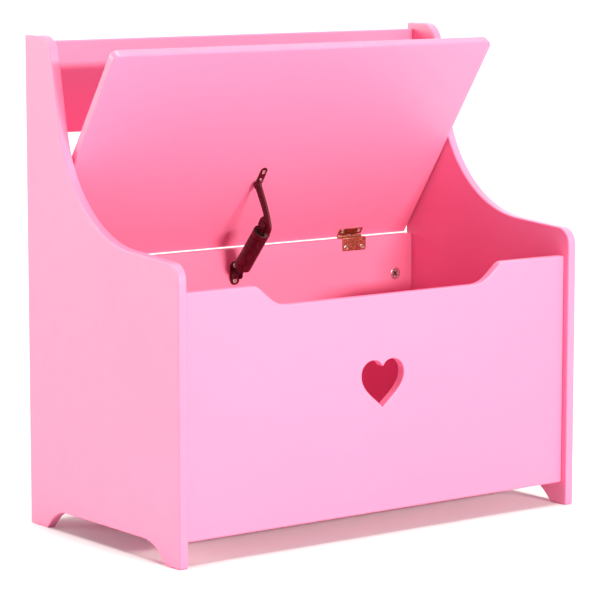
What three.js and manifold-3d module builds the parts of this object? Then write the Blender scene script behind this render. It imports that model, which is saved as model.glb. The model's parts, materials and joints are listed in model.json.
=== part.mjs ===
// A child's toy box with a bench back: painted board panels, a hinged lid and a sprung lid stay.
// Millimetres, +Z up, +Y towards the back. The origin is on the floor, in the middle of the footprint.
import * as THREE from "three";
import { mergeVertices } from "three/addons/utils/BufferGeometryUtils.js";
import Module from "manifold-3d";

const wasm = await Module();
wasm.setup();

// ---- driving dimensions ----
const width = 600;
const depth = 320;
const height = 594;
const board = 12;
const bottomBoard = 9;
const gap = 0.3; // left between pieces that touch
const edgeRound = 1.8; // rounded edge of a painted board

const innerX = width / 2 - board; // inner faces of the side panels
const frontY = -depth / 2;
const backY = depth / 2;

const frontPanelFaceY = frontY + 8;
const frontPanelBottomZ = 28.5;
const frontPanelTopZ = 315;
const scoopDrop = 25;
const scoopHalfTop = 185;
const scoopHalfFloor = 155;

const backPanelInnerY = backY - 13;
const backPanelTopZ = 316;
const railTopZ = 586;
const railBottomZ = 475;

const footHeight = 24;

const hingeAxis = { y: 157, z: 317.8 };
const openAngle = THREE.MathUtils.degToRad(55.8);
const lidWidth = 572;
const lidLength = 309.8; // from the hinge axis to the front edge
const lidOverhang = 3.4; // how far the lid passes behind the hinge axis
const lidRearRound = 5; // radius of the upper rear edge
const lidUnderside = 2.2; // height of the lid's underside above the hinge axis, lid closed
const hingeCentreX = 189.5;

const stayX = -4; // plane of the lid stay
const stayBase = { y: 138, z: 283 }; // lower pivot, on the back panel
const stayKnee = { y: 79, z: 351 }; // middle pivot, lid open
const stayLidPoint = { along: 103.5, below: 5.3 }; // upper pivot, measured in the lid from the hinge axis

// ---- materials ----
function finish(name, color, roughness, metalness) {
  return new THREE.MeshStandardMaterial({ name, color, roughness, metalness });
}
const paint = finish("pink_paint", 0xffb4d2, 0.45, 0);
const brass = finish("antique_brass", 0x9a6a3c, 0.35, 1);
const stayPaint = finish("dark_maroon_paint", 0x3a0d18, 0.35, 0.1);
const zinc = finish("zinc", 0xb9b6b4, 0.4, 1);
const steel = finish("steel", 0x8d8a88, 0.35, 1);
const beech = finish("beech", 0xd8b98a, 0.7, 0);

// ---- solids ----
function solid(geometry) {
  const bare = geometry.clone();
  bare.deleteAttribute("normal");
  bare.deleteAttribute("uv");
  const merged = mergeVertices(bare, 1e-4);
  const vertProperties = new Float32Array(merged.attributes.position.array);
  const triVerts = new Uint32Array(merged.index.array);
  return new wasm.Manifold(new wasm.Mesh({ numProp: 3, vertProperties, triVerts }));
}

function surface(body) {
  const { vertProperties, triVerts, numProp } = body.getMesh();
  const points = new Float32Array((vertProperties.length / numProp) * 3);
  for (let i = 0; i < points.length / 3; i++) {
    for (let k = 0; k < 3; k++) points[3 * i + k] = vertProperties[numProp * i + k];
  }
  const geometry = new THREE.BufferGeometry();
  geometry.setAttribute("position", new THREE.BufferAttribute(points, 3));
  geometry.setIndex(new THREE.BufferAttribute(new Uint32Array(triVerts), 1));
  geometry.computeVertexNormals();
  return geometry;
}

function join(...geometries) {
  return surface(geometries.map(solid).reduce((a, b) => a.add(b)));
}

function cut(geometry, ...tools) {
  return surface(tools.map(solid).reduce((a, b) => a.subtract(b), solid(geometry)));
}

function part(name, geometry, material) {
  const mesh = new THREE.Mesh(geometry, material);
  mesh.name = name;
  return mesh;
}

function box(x0, x1, y0, y1, z0, z1) {
  const geometry = new THREE.BoxGeometry(x1 - x0, y1 - y0, z1 - z0);
  return geometry.translate((x0 + x1) / 2, (y0 + y1) / 2, (z0 + z1) / 2);
}

// A round bar along +X from x0 to x1, through (y, z).
function barX(radius, x0, x1, y, z, sides = 16) {
  const geometry = new THREE.CylinderGeometry(radius, radius, x1 - x0, sides);
  return geometry.rotateZ(-Math.PI / 2).translate((x0 + x1) / 2, y, z);
}

// A round bar along +Y from y0 to y1, through (x, z).
function barY(radius, y0, y1, x, z, sides = 16) {
  return new THREE.CylinderGeometry(radius, radius, y1 - y0, sides).translate(x, (y0 + y1) / 2, z);
}

// A closed outline through [x, y, radius] corners, each rounded by an arc of its radius.
function outline(corners) {
  const path = new THREE.Shape();
  const count = corners.length;
  corners.forEach(([x, y, radius], i) => {
    const here = new THREE.Vector2(x, y);
    if (!radius) {
      if (i === 0) path.moveTo(x, y);
      else path.lineTo(x, y);
      return;
    }
    const [px, py] = corners[(i + count - 1) % count];
    const [nx, ny] = corners[(i + 1) % count];
    const before = new THREE.Vector2(px, py).sub(here).normalize();
    const after = new THREE.Vector2(nx, ny).sub(here).normalize();
    const half = Math.acos(before.dot(after)) / 2;
    const start = here.clone().addScaledVector(before, radius / Math.tan(half));
    const end = here.clone().addScaledVector(after, radius / Math.tan(half));
    const bisector = before.clone().add(after).normalize();
    const centre = here.clone().addScaledVector(bisector, radius / Math.sin(half));
    if (i === 0) path.moveTo(start.x, start.y);
    else path.lineTo(start.x, start.y);
    const from = start.clone().sub(centre).angle();
    const to = end.clone().sub(centre).angle();
    path.absarc(centre.x, centre.y, radius, from, to, before.cross(after) > 0);
  });
  return path;
}

// An outline with both faces' edges rounded, from 0 to thickness along its own +Z.
function roundedBoard(shape, thickness, round = edgeRound, curveSegments = 5) {
  const geometry = new THREE.ExtrudeGeometry(shape, {
    depth: thickness - 2 * round,
    bevelThickness: round,
    bevelSize: round,
    bevelOffset: -round,
    bevelSegments: 2,
    curveSegments,
  });
  return geometry.translate(0, 0, round);
}

function sharpPlate(shape, thickness, curveSegments = 4) {
  return new THREE.ExtrudeGeometry(shape, { depth: thickness, bevelEnabled: false, curveSegments });
}

const X = new THREE.Vector3(1, 0, 0);
const Y = new THREE.Vector3(0, 1, 0);
const Z = new THREE.Vector3(0, 0, 1);

// An outline drawn as (y, z), grown towards +X from x.
function standAcrossX(geometry, x) {
  return geometry.applyMatrix4(new THREE.Matrix4().makeBasis(Y, Z, X)).translate(x, 0, 0);
}

// An outline drawn as (x, z), grown towards -Y from y.
function standAcrossY(geometry, y) {
  return geometry.applyMatrix4(new THREE.Matrix4().makeBasis(X, Z, Y.clone().negate())).translate(0, y, 0);
}

function circleHole(x, y, radius) {
  return new THREE.Path().absarc(x, y, radius, 0, 2 * Math.PI, false);
}

// A straight slot with round ends, as a Shape or a hole: centres a distance apart along its first axis.
function slotPath(path, x, y, halfLength, radius) {
  path.absarc(x + halfLength, y, radius, -Math.PI / 2, Math.PI / 2, false);
  path.absarc(x - halfLength, y, radius, Math.PI / 2, (3 * Math.PI) / 2, false);
  path.closePath();
  return path;
}

// ---- knock-down fittings: a cam in the panel's face pulls a bolt that is screwed into the side panel ----
const cam = { radius: 7.5, depth: 10.2, fromSide: 28, play: 0.4 };
const camSlot = { reach: 4.6, half: 0.9, depth: 1.6 }; // the cross slot in a cam's face
const camBolt = { shank: 3, neck: 1.9, head: 3.1, intoSide: 9, bore: 3.8 };
const dowel = { radius: 3, length: 23 };

// Every joint of a panel with a side panel: the face that holds the cam, which way it looks, and the height.
const camRows = [
  { name: "back_upper", faceY: backPanelInnerY, look: -1, z: 264 },
  { name: "back_lower", faceY: backPanelInnerY, look: -1, z: 60 },
  { name: "front_upper", faceY: frontPanelFaceY + board, look: 1, z: 250 },
  { name: "front_lower", faceY: frontPanelFaceY + board, look: 1, z: 60 },
  { name: "rail", faceY: backPanelInnerY + board, look: 1, z: 530 },
];
const sides = [
  { name: "left", sign: -1 },
  { name: "right", sign: 1 },
];
const dowelYs = [-85, 90];
const dowelZ = 34.5;

function boltLineY(row) {
  return row.faceY - (row.look * board) / 2;
}

// The cam's hole in the panel's face and the bolt's bore from the panel's end.
function camBores(rowNames) {
  const bores = [];
  for (const row of camRows.filter(({ name }) => rowNames.includes(name))) {
    const depthIn = cam.depth + cam.play;
    const y0 = Math.min(row.faceY + row.look, row.faceY - row.look * depthIn);
    const y1 = Math.max(row.faceY + row.look, row.faceY - row.look * depthIn);
    for (const { sign } of sides) {
      const x = sign * (innerX - cam.fromSide);
      bores.push(barY(cam.radius + gap, y0, y1, x, row.z, 24));
      const ends = [x, sign * (innerX + 1)].sort((a, b) => a - b);
      bores.push(barX(camBolt.bore, ends[0], ends[1], boltLineY(row), row.z, 12));
    }
  }
  return bores;
}

function camBody(row, sign) {
  const x = sign * (innerX - cam.fromSide);
  const inner = row.faceY - row.look * cam.depth;
  const y0 = Math.min(row.faceY, inner);
  const y1 = Math.max(row.faceY, inner);
  const slotFloor = row.faceY - row.look * camSlot.depth;
  const slotY = [slotFloor, row.faceY + row.look].sort((a, b) => a - b);
  const cross = [Math.PI / 4, (3 * Math.PI) / 4].map((angle) => {
    const bar = box(-camSlot.reach, camSlot.reach, slotY[0], slotY[1], -camSlot.half, camSlot.half);
    return bar.rotateY(angle).translate(x, 0, row.z);
  });
  const claw = [x - sign * camBolt.bore, x + sign * (cam.radius + 1)].sort((a, b) => a - b);
  const lineY = boltLineY(row);
  const reach = camBolt.bore - 0.2;
  const [lowZ, highZ] = [row.z - camBolt.bore, row.z + camBolt.bore];
  const clawCut = box(claw[0], claw[1], lineY - reach, lineY + reach, lowZ, highZ);
  return cut(barY(cam.radius, y0, y1, x, row.z, 20), ...cross, clawCut);
}

function camBoltBody(row, sign) {
  const length = camBolt.intoSide + cam.fromSide + 2;
  const profile = [
    [0, 0],
    [camBolt.shank, 0],
    [camBolt.shank, length - 11],
    [camBolt.neck, length - 10],
    [camBolt.neck, length - 3],
    [camBolt.head, length - 2.4],
    [camBolt.head, length],
    [0, length],
  ].map(([r, z]) => new THREE.Vector2(r, z));
  const bolt = new THREE.LatheGeometry(profile, 12).rotateZ((sign * Math.PI) / 2);
  return bolt.translate(sign * (innerX + camBolt.intoSide), boltLineY(row), row.z);
}

function addCamFittings(group) {
  for (const row of camRows) {
    for (const { name, sign } of sides) {
      group.add(part(`cam_lock_${row.name}_${name}`, camBody(row, sign), zinc));
      group.add(part(`cam_bolt_${row.name}_${name}`, camBoltBody(row, sign), zinc));
    }
  }
}

function addDowels(group) {
  dowelYs.forEach((y, i) => {
    for (const { name, sign } of sides) {
      const ends = [sign * (innerX - dowel.length / 2), sign * (innerX + dowel.length / 2 - 1)];
      ends.sort((a, b) => a - b);
      const peg = barX(dowel.radius, ends[0], ends[1], y, dowelZ, 12);
      group.add(part(`bottom_dowel_${i ? "back" : "front"}_${name}`, peg, beech));
    }
  });
}

function dowelBores(sign) {
  const ends = [sign * (innerX - dowel.length / 2 - 0.5), sign * (innerX + dowel.length / 2 - 0.5)];
  ends.sort((a, b) => a - b);
  return dowelYs.map((y) => barX(dowel.radius + gap, ends[0], ends[1], y, dowelZ, 12));
}

// ---- panels ----
// The side's outline, as (y, z): tall back post, swept front edge, low arm, two feet with an arch between.
function sideOutline() {
  return outline([
    [backY, 0, 0],
    [backY, height, 2.5],
    [106.5, height, 26],
    [60.5, 363, 160],
    [frontY, 348.5, 21],
    [frontY, 0, 0],
    [frontY + 29, 0, 0],
    [frontY + 55, footHeight, 55],
    [backY - 61, footHeight, 45],
    [backY - 38, 0, 0],
  ]);
}

function sidePanel(sign) {
  const outer = sign > 0 ? innerX : -innerX - board;
  const panel = standAcrossX(roundedBoard(sideOutline(), board), outer);
  const bores = camRows.map((row) => {
    const ends = [sign * (innerX - 1), sign * (innerX + camBolt.intoSide + gap)].sort((a, b) => a - b);
    return barX(camBolt.shank + gap, ends[0], ends[1], boltLineY(row), row.z, 12);
  });
  return cut(panel, ...bores, ...dowelBores(sign));
}

// A heart as (x, z) with its tip down: two arcs above, two bowed sides below.
function heartHole() {
  const tipZ = 155;
  const notchZ = 205.5;
  const half = 32; // half width, at the shoulders
  const shoulderZ = 195;
  const sideZ = 177; // where a bowed side turns upright
  const lobe = { x: 8, z: 220.5, outerZ: 213 }; // handles of a lobe's arc
  const tipEase = 12;
  const hole = new THREE.Path();
  hole.moveTo(0, tipZ);
  hole.bezierCurveTo(tipEase, tipZ + tipEase, half, sideZ, half, shoulderZ);
  hole.bezierCurveTo(half, lobe.outerZ, lobe.x, lobe.z, 0, notchZ);
  hole.bezierCurveTo(-lobe.x, lobe.z, -half, lobe.outerZ, -half, shoulderZ);
  hole.bezierCurveTo(-half, sideZ, -tipEase, tipZ + tipEase, 0, tipZ);
  return hole;
}

function frontPanel() {
  const half = innerX - gap;
  const floorZ = frontPanelTopZ - scoopDrop;
  const shape = outline([
    [-half, frontPanelBottomZ, 2],
    [half, frontPanelBottomZ, 2],
    [half, frontPanelTopZ, 2],
    [scoopHalfTop, frontPanelTopZ, 14],
    [scoopHalfFloor, floorZ, 40],
    [-scoopHalfFloor, floorZ, 40],
    [-scoopHalfTop, frontPanelTopZ, 14],
    [-half, frontPanelTopZ, 2],
  ]);
  shape.holes.push(heartHole());
  const panel = standAcrossY(roundedBoard(shape, board), frontPanelFaceY + board);
  return cut(panel, ...camBores(["front_upper", "front_lower"]));
}

function rectangle(x0, x1, y0, y1, radius) {
  return outline([
    [x0, y0, radius],
    [x1, y0, radius],
    [x1, y1, radius],
    [x0, y1, radius],
  ]);
}

function backPanel() {
  const half = innerX - gap;
  const shape = rectangle(-half, half, frontPanelBottomZ, backPanelTopZ, 1.5);
  const panel = standAcrossY(roundedBoard(shape, board, 1, 2), backPanelInnerY + board);
  return cut(panel, ...camBores(["back_upper", "back_lower"]), ...backPanelScrewBores());
}

function backrestRail() {
  const half = innerX - gap;
  const shape = rectangle(-half, half, railBottomZ, railTopZ, 2);
  const rail = standAcrossY(roundedBoard(shape, board, edgeRound, 2), backPanelInnerY + board);
  return cut(rail, ...camBores(["rail"]));
}

function bottomPanel() {
  const low = frontPanelBottomZ + 1.5;
  const y0 = frontPanelFaceY + board + gap;
  const panel = box(-innerX + gap, innerX - gap, y0, backPanelInnerY - gap, low, low + bottomBoard);
  return cut(panel, ...dowelBores(-1), ...dowelBores(1));
}

function lidBoard() {
  const half = lidWidth / 2;
  const shape = outline([
    [-half, -lidLength, 9],
    [half, -lidLength, 9],
    [half, lidOverhang, 2.5],
    [-half, lidOverhang, 2.5],
  ]);
  const panel = roundedBoard(shape, board, 2, 3).translate(0, 0, lidUnderside);
  return cut(panel, rearEdgeTool(), ...lidScrewBores());
}

// What the lid's rounded upper rear edge leaves out of its corner.
function rearEdgeTool() {
  const y = lidOverhang - lidRearRound;
  const z = lidUnderside + board - lidRearRound;
  const corner = box(-lidWidth, lidWidth, y, y + 2 * lidRearRound, z, z + 2 * lidRearRound);
  return cut(corner, barX(lidRearRound, -lidWidth - 1, lidWidth + 1, y, z, 32));
}

// ---- butt hinges: the body leaf wraps over the back panel's top edge, the lid leaf lies under the lid ----
const leaf = {
  width: 38,
  thickness: 1,
  knuckle: 1.7,
  bore: 1,
  pin: 0.7,
  knuckles: 5,
  play: 0.15, // at each end of a knuckle
  wrapTop: -0.5, // top of the body leaf over the panel's edge, from the hinge's axis
  bodyLowZ: 300,
  bodyCorner: 2,
  lidReach: 12,
  lidCorner: 1.2,
  nearAxis: 2.4, // both plates stop here, only their tongues reach the knuckles
};
const leafScrewX = 13.4;
const bodyScrewZ = 304.7;
const lidScrewY = -7.6;
const screw = { head: 2.9, shank: 1.5, headDepth: 1.4, length: 11, recess: 3.2 };
const driver = { reach: 1.8, half: 0.3, depth: 0.9 }; // the cross slot in a screw's head
const leafFaceY = backPanelInnerY - gap - leaf.thickness;

// A countersunk cross-slot screw along -Z, its head's face at 0.
function screwBody() {
  const profile = [
    [0, -screw.length],
    [screw.shank, -screw.length + 2],
    [screw.shank, -screw.headDepth],
    [screw.head, 0],
    [0, 0],
  ].map(([r, z]) => new THREE.Vector2(r, z));
  const body = new THREE.LatheGeometry(profile, 12).rotateX(Math.PI / 2);
  const { reach, half, depth: slotDepth } = driver;
  const alongX = box(-reach, reach, -half, half, -slotDepth, 1);
  const alongY = box(-half, half, -reach, reach, -slotDepth, 1);
  return cut(body, alongX, alongY);
}

// The cone that a screw's head sits in, along -Z from the face at 0.
function countersink(thickness) {
  const deep = thickness + 1;
  const low = Math.max(screw.recess - deep, screw.shank + gap);
  return new THREE.CylinderGeometry(screw.recess + 0.5, low, deep + 0.5, 16)
    .rotateX(Math.PI / 2)
    .translate(0, 0, (0.5 - deep) / 2);
}

const faceFront = new THREE.Matrix4().makeRotationX(Math.PI / 2); // turns +Z to face -Y
const faceDown = new THREE.Matrix4().makeRotationX(Math.PI); // turns +Z to face -Z

function backPanelScrewBores() {
  const places = [];
  for (const { sign } of sides) {
    for (const offset of [-leafScrewX, leafScrewX]) places.push([sign * hingeCentreX + offset, bodyScrewZ]);
  }
  for (const z of wallFoot.screwZs) places.push([wallFoot.x, z]);
  const boreY = backPanelInnerY - 1;
  return places.map(([x, z]) => barY(screw.shank + gap, boreY, boreY + screw.length, x, z, 8));
}

function lidScrewBores() {
  const places = [];
  for (const { sign } of sides) {
    for (const offset of [-leafScrewX, leafScrewX]) places.push([sign * hingeCentreX + offset, lidScrewY]);
  }
  for (const along of lidFoot.screwAlong) places.push([lidFoot.x, -along]);
  const { length } = screw;
  const radius = screw.shank + gap;
  return places.map(([x, y]) => {
    const bore = new THREE.CylinderGeometry(radius, radius, length, 8).rotateX(Math.PI / 2);
    return bore.translate(x, y, lidUnderside + length / 2 - 1);
  });
}

// The knuckles with the given remainder, as rings along the hinge's axis at y = z = 0, each with its tongue.
function knuckleRings(remainder, tongue) {
  const pitch = leaf.width / leaf.knuckles;
  const rings = [];
  for (let i = remainder; i < leaf.knuckles; i += 2) {
    const x0 = -leaf.width / 2 + i * pitch + (i ? leaf.play : 0);
    const x1 = -leaf.width / 2 + (i + 1) * pitch - (i < leaf.knuckles - 1 ? leaf.play : 0);
    rings.push(barX(leaf.knuckle, x0, x1, 0, 0, 16), box(x0, x1, tongue.y0, tongue.y1, tongue.z0, tongue.z1));
  }
  return rings;
}

function hingeBore() {
  return barX(leaf.bore, -leaf.width, leaf.width, 0, 0, 12);
}

// Drawn about the hinge's axis and the hinge's middle.
function bodyLeaf() {
  const plateTop = leaf.wrapTop;
  const plateLow = plateTop - leaf.thickness;
  const faceY = leafFaceY - hingeAxis.y;
  const bottom = leaf.bodyLowZ - hingeAxis.z;
  const half = leaf.width / 2;
  const upright = outline([
    [-half, bottom, leaf.bodyCorner],
    [half, bottom, leaf.bodyCorner],
    [half, plateTop, 0],
    [-half, plateTop, 0],
  ]);
  const wall = standAcrossY(sharpPlate(upright, leaf.thickness, 3), faceY + leaf.thickness);
  const bridge = box(-half, half, faceY, -leaf.nearAxis, plateLow, plateTop);
  const tongue = { y0: -leaf.nearAxis - 0.2, y1: -0.2, z0: plateLow, z1: plateTop };
  const sinks = [-leafScrewX, leafScrewX].map((x) =>
    countersink(leaf.thickness).applyMatrix4(faceFront).translate(x, faceY, bodyScrewZ - hingeAxis.z),
  );
  return cut(join(wall, bridge, ...knuckleRings(0, tongue)), hingeBore(), ...sinks);
}

// Drawn in the lid's own frame, about the hinge's axis and the hinge's middle.
function lidLeaf() {
  const top = lidUnderside - gap;
  const low = top - leaf.thickness;
  const half = leaf.width / 2;
  const shape = outline([
    [-half, -leaf.lidReach, leaf.lidCorner],
    [half, -leaf.lidReach, leaf.lidCorner],
    [half, -leaf.nearAxis, 0],
    [-half, -leaf.nearAxis, 0],
  ]);
  const plate = sharpPlate(shape, leaf.thickness, 3).translate(0, 0, low);
  const tongue = { y0: -leaf.nearAxis - 0.2, y1: -0.2, z0: low, z1: top - 0.02 };
  const sinks = [-leafScrewX, leafScrewX].map((x) =>
    countersink(leaf.thickness).applyMatrix4(faceDown).translate(x, lidScrewY, low),
  );
  return cut(join(plate, ...knuckleRings(1, tongue)), hingeBore(), ...sinks);
}

function addHinges(cabinet, lid) {
  for (const { name, sign } of sides) {
    const x = sign * hingeCentreX;
    const fixed = part(`hinge_${name}_body_leaf`, bodyLeaf(), brass);
    fixed.position.set(x, hingeAxis.y, hingeAxis.z);
    const half = leaf.width / 2;
    const pin = part(`hinge_${name}_pin`, barX(leaf.pin, -half, half, 0, 0, 12), brass);
    pin.position.copy(fixed.position);
    const moving = part(`hinge_${name}_lid_leaf`, lidLeaf(), brass);
    moving.position.x = x;
    cabinet.add(fixed, pin);
    lid.add(moving);
    [-leafScrewX, leafScrewX].forEach((offset, i) => {
      const bodyScrew = part(`hinge_${name}_body_screw_${i + 1}`, screwBody().applyMatrix4(faceFront), zinc);
      bodyScrew.position.set(x + offset, leafFaceY, bodyScrewZ);
      cabinet.add(bodyScrew);
      const lidScrew = part(`hinge_${name}_lid_screw_${i + 1}`, screwBody().applyMatrix4(faceDown), zinc);
      lidScrew.position.set(x + offset, lidScrewY, lidUnderside - gap - leaf.thickness);
      lid.add(lidScrew);
    });
  }
}

// ---- lid stay: a cam arm turns in the mouth of a tube, where a spring presses a follower on the cam ----
const armPlate = {
  thickness: 3,
  halfWidth: 4.2,
  bulge: { y: -11, z: 24 }, // on the front edge, measured from the knee
  head: 5.4,
  headY: -1.1,
  slotReach: 0.85,
  slotRadius: 3,
};
const strap = { thickness: 1.5, halfWidth: 4, inner: armPlate.thickness / 2 + gap };
const spacerBlock = { halfWidth: 3.5, low: 6 }; // holds the strap's two legs apart
const rivet = { radius: 2, head: 3.4, headHeight: 1 };
const lidRivet = { radius: 1.5, head: 5, headHeight: 1.2, tail: 2.8, tailHeight: 0.8 };
const tube = { radius: 11, wall: 1.4, start: 16, mouth: 9.6 };
const frontCamRadius = 12.3;
const contactRadius = 10.8;
const camGrowth = 0.043; // mm of cam radius for each degree

const kneeVector = new THREE.Vector2(stayKnee.y - stayBase.y, stayKnee.z - stayBase.z);
const strapLength = kneeVector.length();
const strapTilt = Math.atan2(-kneeVector.x, kneeVector.y);

// The upper pivot in the object's frame, lid open.
const lidPoint = new THREE.Vector2(
  hingeAxis.y - stayLidPoint.along * Math.cos(openAngle) - stayLidPoint.below * Math.sin(openAngle),
  hingeAxis.z + stayLidPoint.along * Math.sin(openAngle) - stayLidPoint.below * Math.cos(openAngle),
);
const armVector = new THREE.Vector2(lidPoint.x - stayKnee.y, lidPoint.y - stayKnee.z);
const armLength = armVector.length();
const armTilt = Math.atan2(-armVector.x, armVector.y);

const wallFoot = {
  x: stayX + 1.5,
  thickness: 1.5,
  halfWidth: 6.9,
  lowZ: 270,
  highZ: 300,
  screwZs: [275.2, 294.8],
};
const lidFoot = { x: 2.6, thickness: 1.5, halfWidth: 4.8, near: 98, far: 126, screwAlong: [119.5, 106.5] };
const earRadius = 5; // of both feet's ears, about their pivots

// A rivet along X with a head at each end, centred at 0, over the stretch that it holds.
function rivetBody(halfSpan) {
  const { radius, head, headHeight } = rivet;
  const end = halfSpan + gap;
  const outer = end + headHeight;
  const profile = [
    [0, -outer],
    [head * 0.7, -outer],
    [head, -end],
    [radius, -end],
    [radius, end],
    [head, end],
    [head * 0.7, outer],
    [0, outer],
  ].map(([r, x]) => new THREE.Vector2(r, x));
  return new THREE.LatheGeometry(profile, 12).rotateZ(-Math.PI / 2);
}

// A plate drawn as (y, z), with its middle in the plane at x.
function acrossX(shape, thickness, x) {
  return standAcrossX(sharpPlate(shape, thickness), x - thickness / 2);
}

const forkGap = strap.inner + strap.thickness + gap; // the inner side of the wall foot's ears

function wallFootBody() {
  const faceY = backPanelInnerY - gap;
  const midZ = (wallFoot.lowZ + wallFoot.highZ) / 2;
  const reach = (wallFoot.highZ - wallFoot.lowZ) / 2 - wallFoot.halfWidth;
  const outlineOfBase = slotPath(new THREE.Shape(), 0, 0, reach, wallFoot.halfWidth);
  const base = sharpPlate(outlineOfBase, wallFoot.thickness, 6)
    .rotateZ(Math.PI / 2)
    .applyMatrix4(faceFront)
    .translate(wallFoot.x, faceY, midZ);
  const ears = [-1, 1].map((side) => {
    const ear = new THREE.Shape();
    ear.moveTo(faceY - 0.2, stayBase.z - earRadius);
    ear.lineTo(faceY - 0.2, stayBase.z + earRadius);
    ear.absarc(stayBase.y, stayBase.z, earRadius, Math.PI / 2, (3 * Math.PI) / 2, false);
    ear.holes.push(circleHole(stayBase.y, stayBase.z, rivet.radius + gap));
    const middle = stayX + side * (forkGap + wallFoot.thickness / 2);
    return acrossX(ear, wallFoot.thickness, middle);
  });
  const outerY = faceY - wallFoot.thickness;
  const sinks = wallFoot.screwZs.map((z) =>
    countersink(wallFoot.thickness).applyMatrix4(faceFront).translate(wallFoot.x, outerY, z),
  );
  return cut(join(base, ...ears), ...sinks);
}

// Drawn in the lid's own frame.
function lidFootBody() {
  const top = lidUnderside - gap;
  const low = top - lidFoot.thickness;
  const middle = (lidFoot.near + lidFoot.far) / 2;
  const reach = (lidFoot.far - lidFoot.near) / 2 - lidFoot.halfWidth;
  const base = sharpPlate(slotPath(new THREE.Shape(), 0, 0, reach, lidFoot.halfWidth), lidFoot.thickness, 6)
    .rotateZ(Math.PI / 2)
    .translate(lidFoot.x, -middle, low);
  const pivotY = -stayLidPoint.along;
  const pivotZ = -stayLidPoint.below;
  const ear = new THREE.Shape();
  ear.moveTo(pivotY + earRadius, top - 0.2);
  ear.lineTo(pivotY - earRadius, top - 0.2);
  ear.absarc(pivotY, pivotZ, earRadius, Math.PI, 2 * Math.PI, false);
  ear.holes.push(circleHole(pivotY, pivotZ, lidRivet.radius + gap));
  const earX = stayX + armPlate.thickness / 2 + gap + lidFoot.thickness / 2;
  const sinks = lidFoot.screwAlong.map((along) =>
    countersink(lidFoot.thickness).applyMatrix4(faceDown).translate(lidFoot.x, -along, low),
  );
  const webX = earX - lidFoot.thickness / 2;
  const web = box(webX, lidFoot.x, pivotY - earRadius, pivotY + earRadius, low, top - 0.02);
  return cut(join(base, web, acrossX(ear, lidFoot.thickness, earX)), ...sinks);
}

// The strap's frame: +Z from the base pivot to the knee, X across the stay.
function strapBody() {
  const legShape = slotPath(new THREE.Shape(), strapLength / 2, 0, strapLength / 2, strap.halfWidth);
  legShape.holes.push(circleHole(0, 0, rivet.radius + gap), circleHole(strapLength, 0, rivet.radius + gap));
  const quarterTurn = new THREE.Matrix4().makeBasis(Z, Y, X.clone().negate());
  const legs = [-1, 1].map((side) => {
    const leg = sharpPlate(legShape, strap.thickness, 4).translate(0, 0, -strap.thickness / 2);
    return leg.applyMatrix4(quarterTurn).translate(side * (strap.inner + strap.thickness / 2), 0, 0);
  });
  const half = strap.inner + 0.2; // reaches a little into both legs
  const { halfWidth, low } = spacerBlock;
  const spacer = box(-half, half, -halfWidth, halfWidth, low, tube.start - 2);
  return join(...legs, spacer);
}

// A cup open towards the knee, with a slot in its floor for the strap.
function tubeBody() {
  const end = strapLength - tube.mouth;
  const bore = tube.radius - tube.wall;
  const profile = [
    [0, tube.start],
    [tube.radius - 1, tube.start],
    [tube.radius, tube.start + 1],
    [tube.radius, end],
    [bore, end],
    [bore, tube.start + tube.wall],
    [0, tube.start + tube.wall],
  ].map(([r, z]) => new THREE.Vector2(r, z));
  const cup = new THREE.LatheGeometry(profile, 32).rotateX(Math.PI / 2);
  const halfAcross = strap.inner + strap.thickness + gap;
  const slot = strap.halfWidth + gap;
  return cut(cup, box(-halfAcross, halfAcross, -slot, slot, tube.start - 1, tube.start + tube.wall + 1));
}

const follower = { thickness: 3, top: strapLength - contactRadius - gap, play: 0.4, slotPlay: 0.2 };

// A washer that slides on the strap, with a bar between its two slots that bears on the cam.
function followerBody() {
  const low = follower.top - follower.thickness;
  const radius = tube.radius - tube.wall - follower.play;
  const disc = new THREE.CylinderGeometry(radius, radius, follower.thickness, 24).rotateX(Math.PI / 2);
  const slots = [-1, 1].map((side) => {
    const middle = side * (strap.inner + strap.thickness / 2);
    const halfAcross = strap.thickness / 2 + follower.slotPlay;
    const half = strap.halfWidth + gap;
    return box(middle - halfAcross, middle + halfAcross, -half, half, low - 1, follower.top + 1);
  });
  return cut(disc.translate(0, 0, low + follower.thickness / 2), ...slots);
}

const spring = { radius: 7.6, wire: 0.9, turns: 7 };

// A helix of round wire about the strap, between the tube's floor and the follower.
class Helix extends THREE.Curve {
  constructor(radius, low, high, turns) {
    super();
    Object.assign(this, { radius, low, high, turns });
  }
  getPoint(t, target = new THREE.Vector3()) {
    const angle = 2 * Math.PI * this.turns * t;
    const height = this.low + (this.high - this.low) * t;
    return target.set(this.radius * Math.cos(angle), this.radius * Math.sin(angle), height);
  }
}

function springBody() {
  const { radius, wire, turns } = spring;
  const low = tube.start + tube.wall + wire + gap;
  const high = follower.top - follower.thickness - wire - gap;
  const path = new Helix(radius, low, high, turns);
  const section = new THREE.Shape().absarc(0, 0, wire, 0, 2 * Math.PI, false);
  return new THREE.ExtrudeGeometry(section, { steps: turns * 12, curveSegments: 3, extrudePath: path });
}

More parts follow.
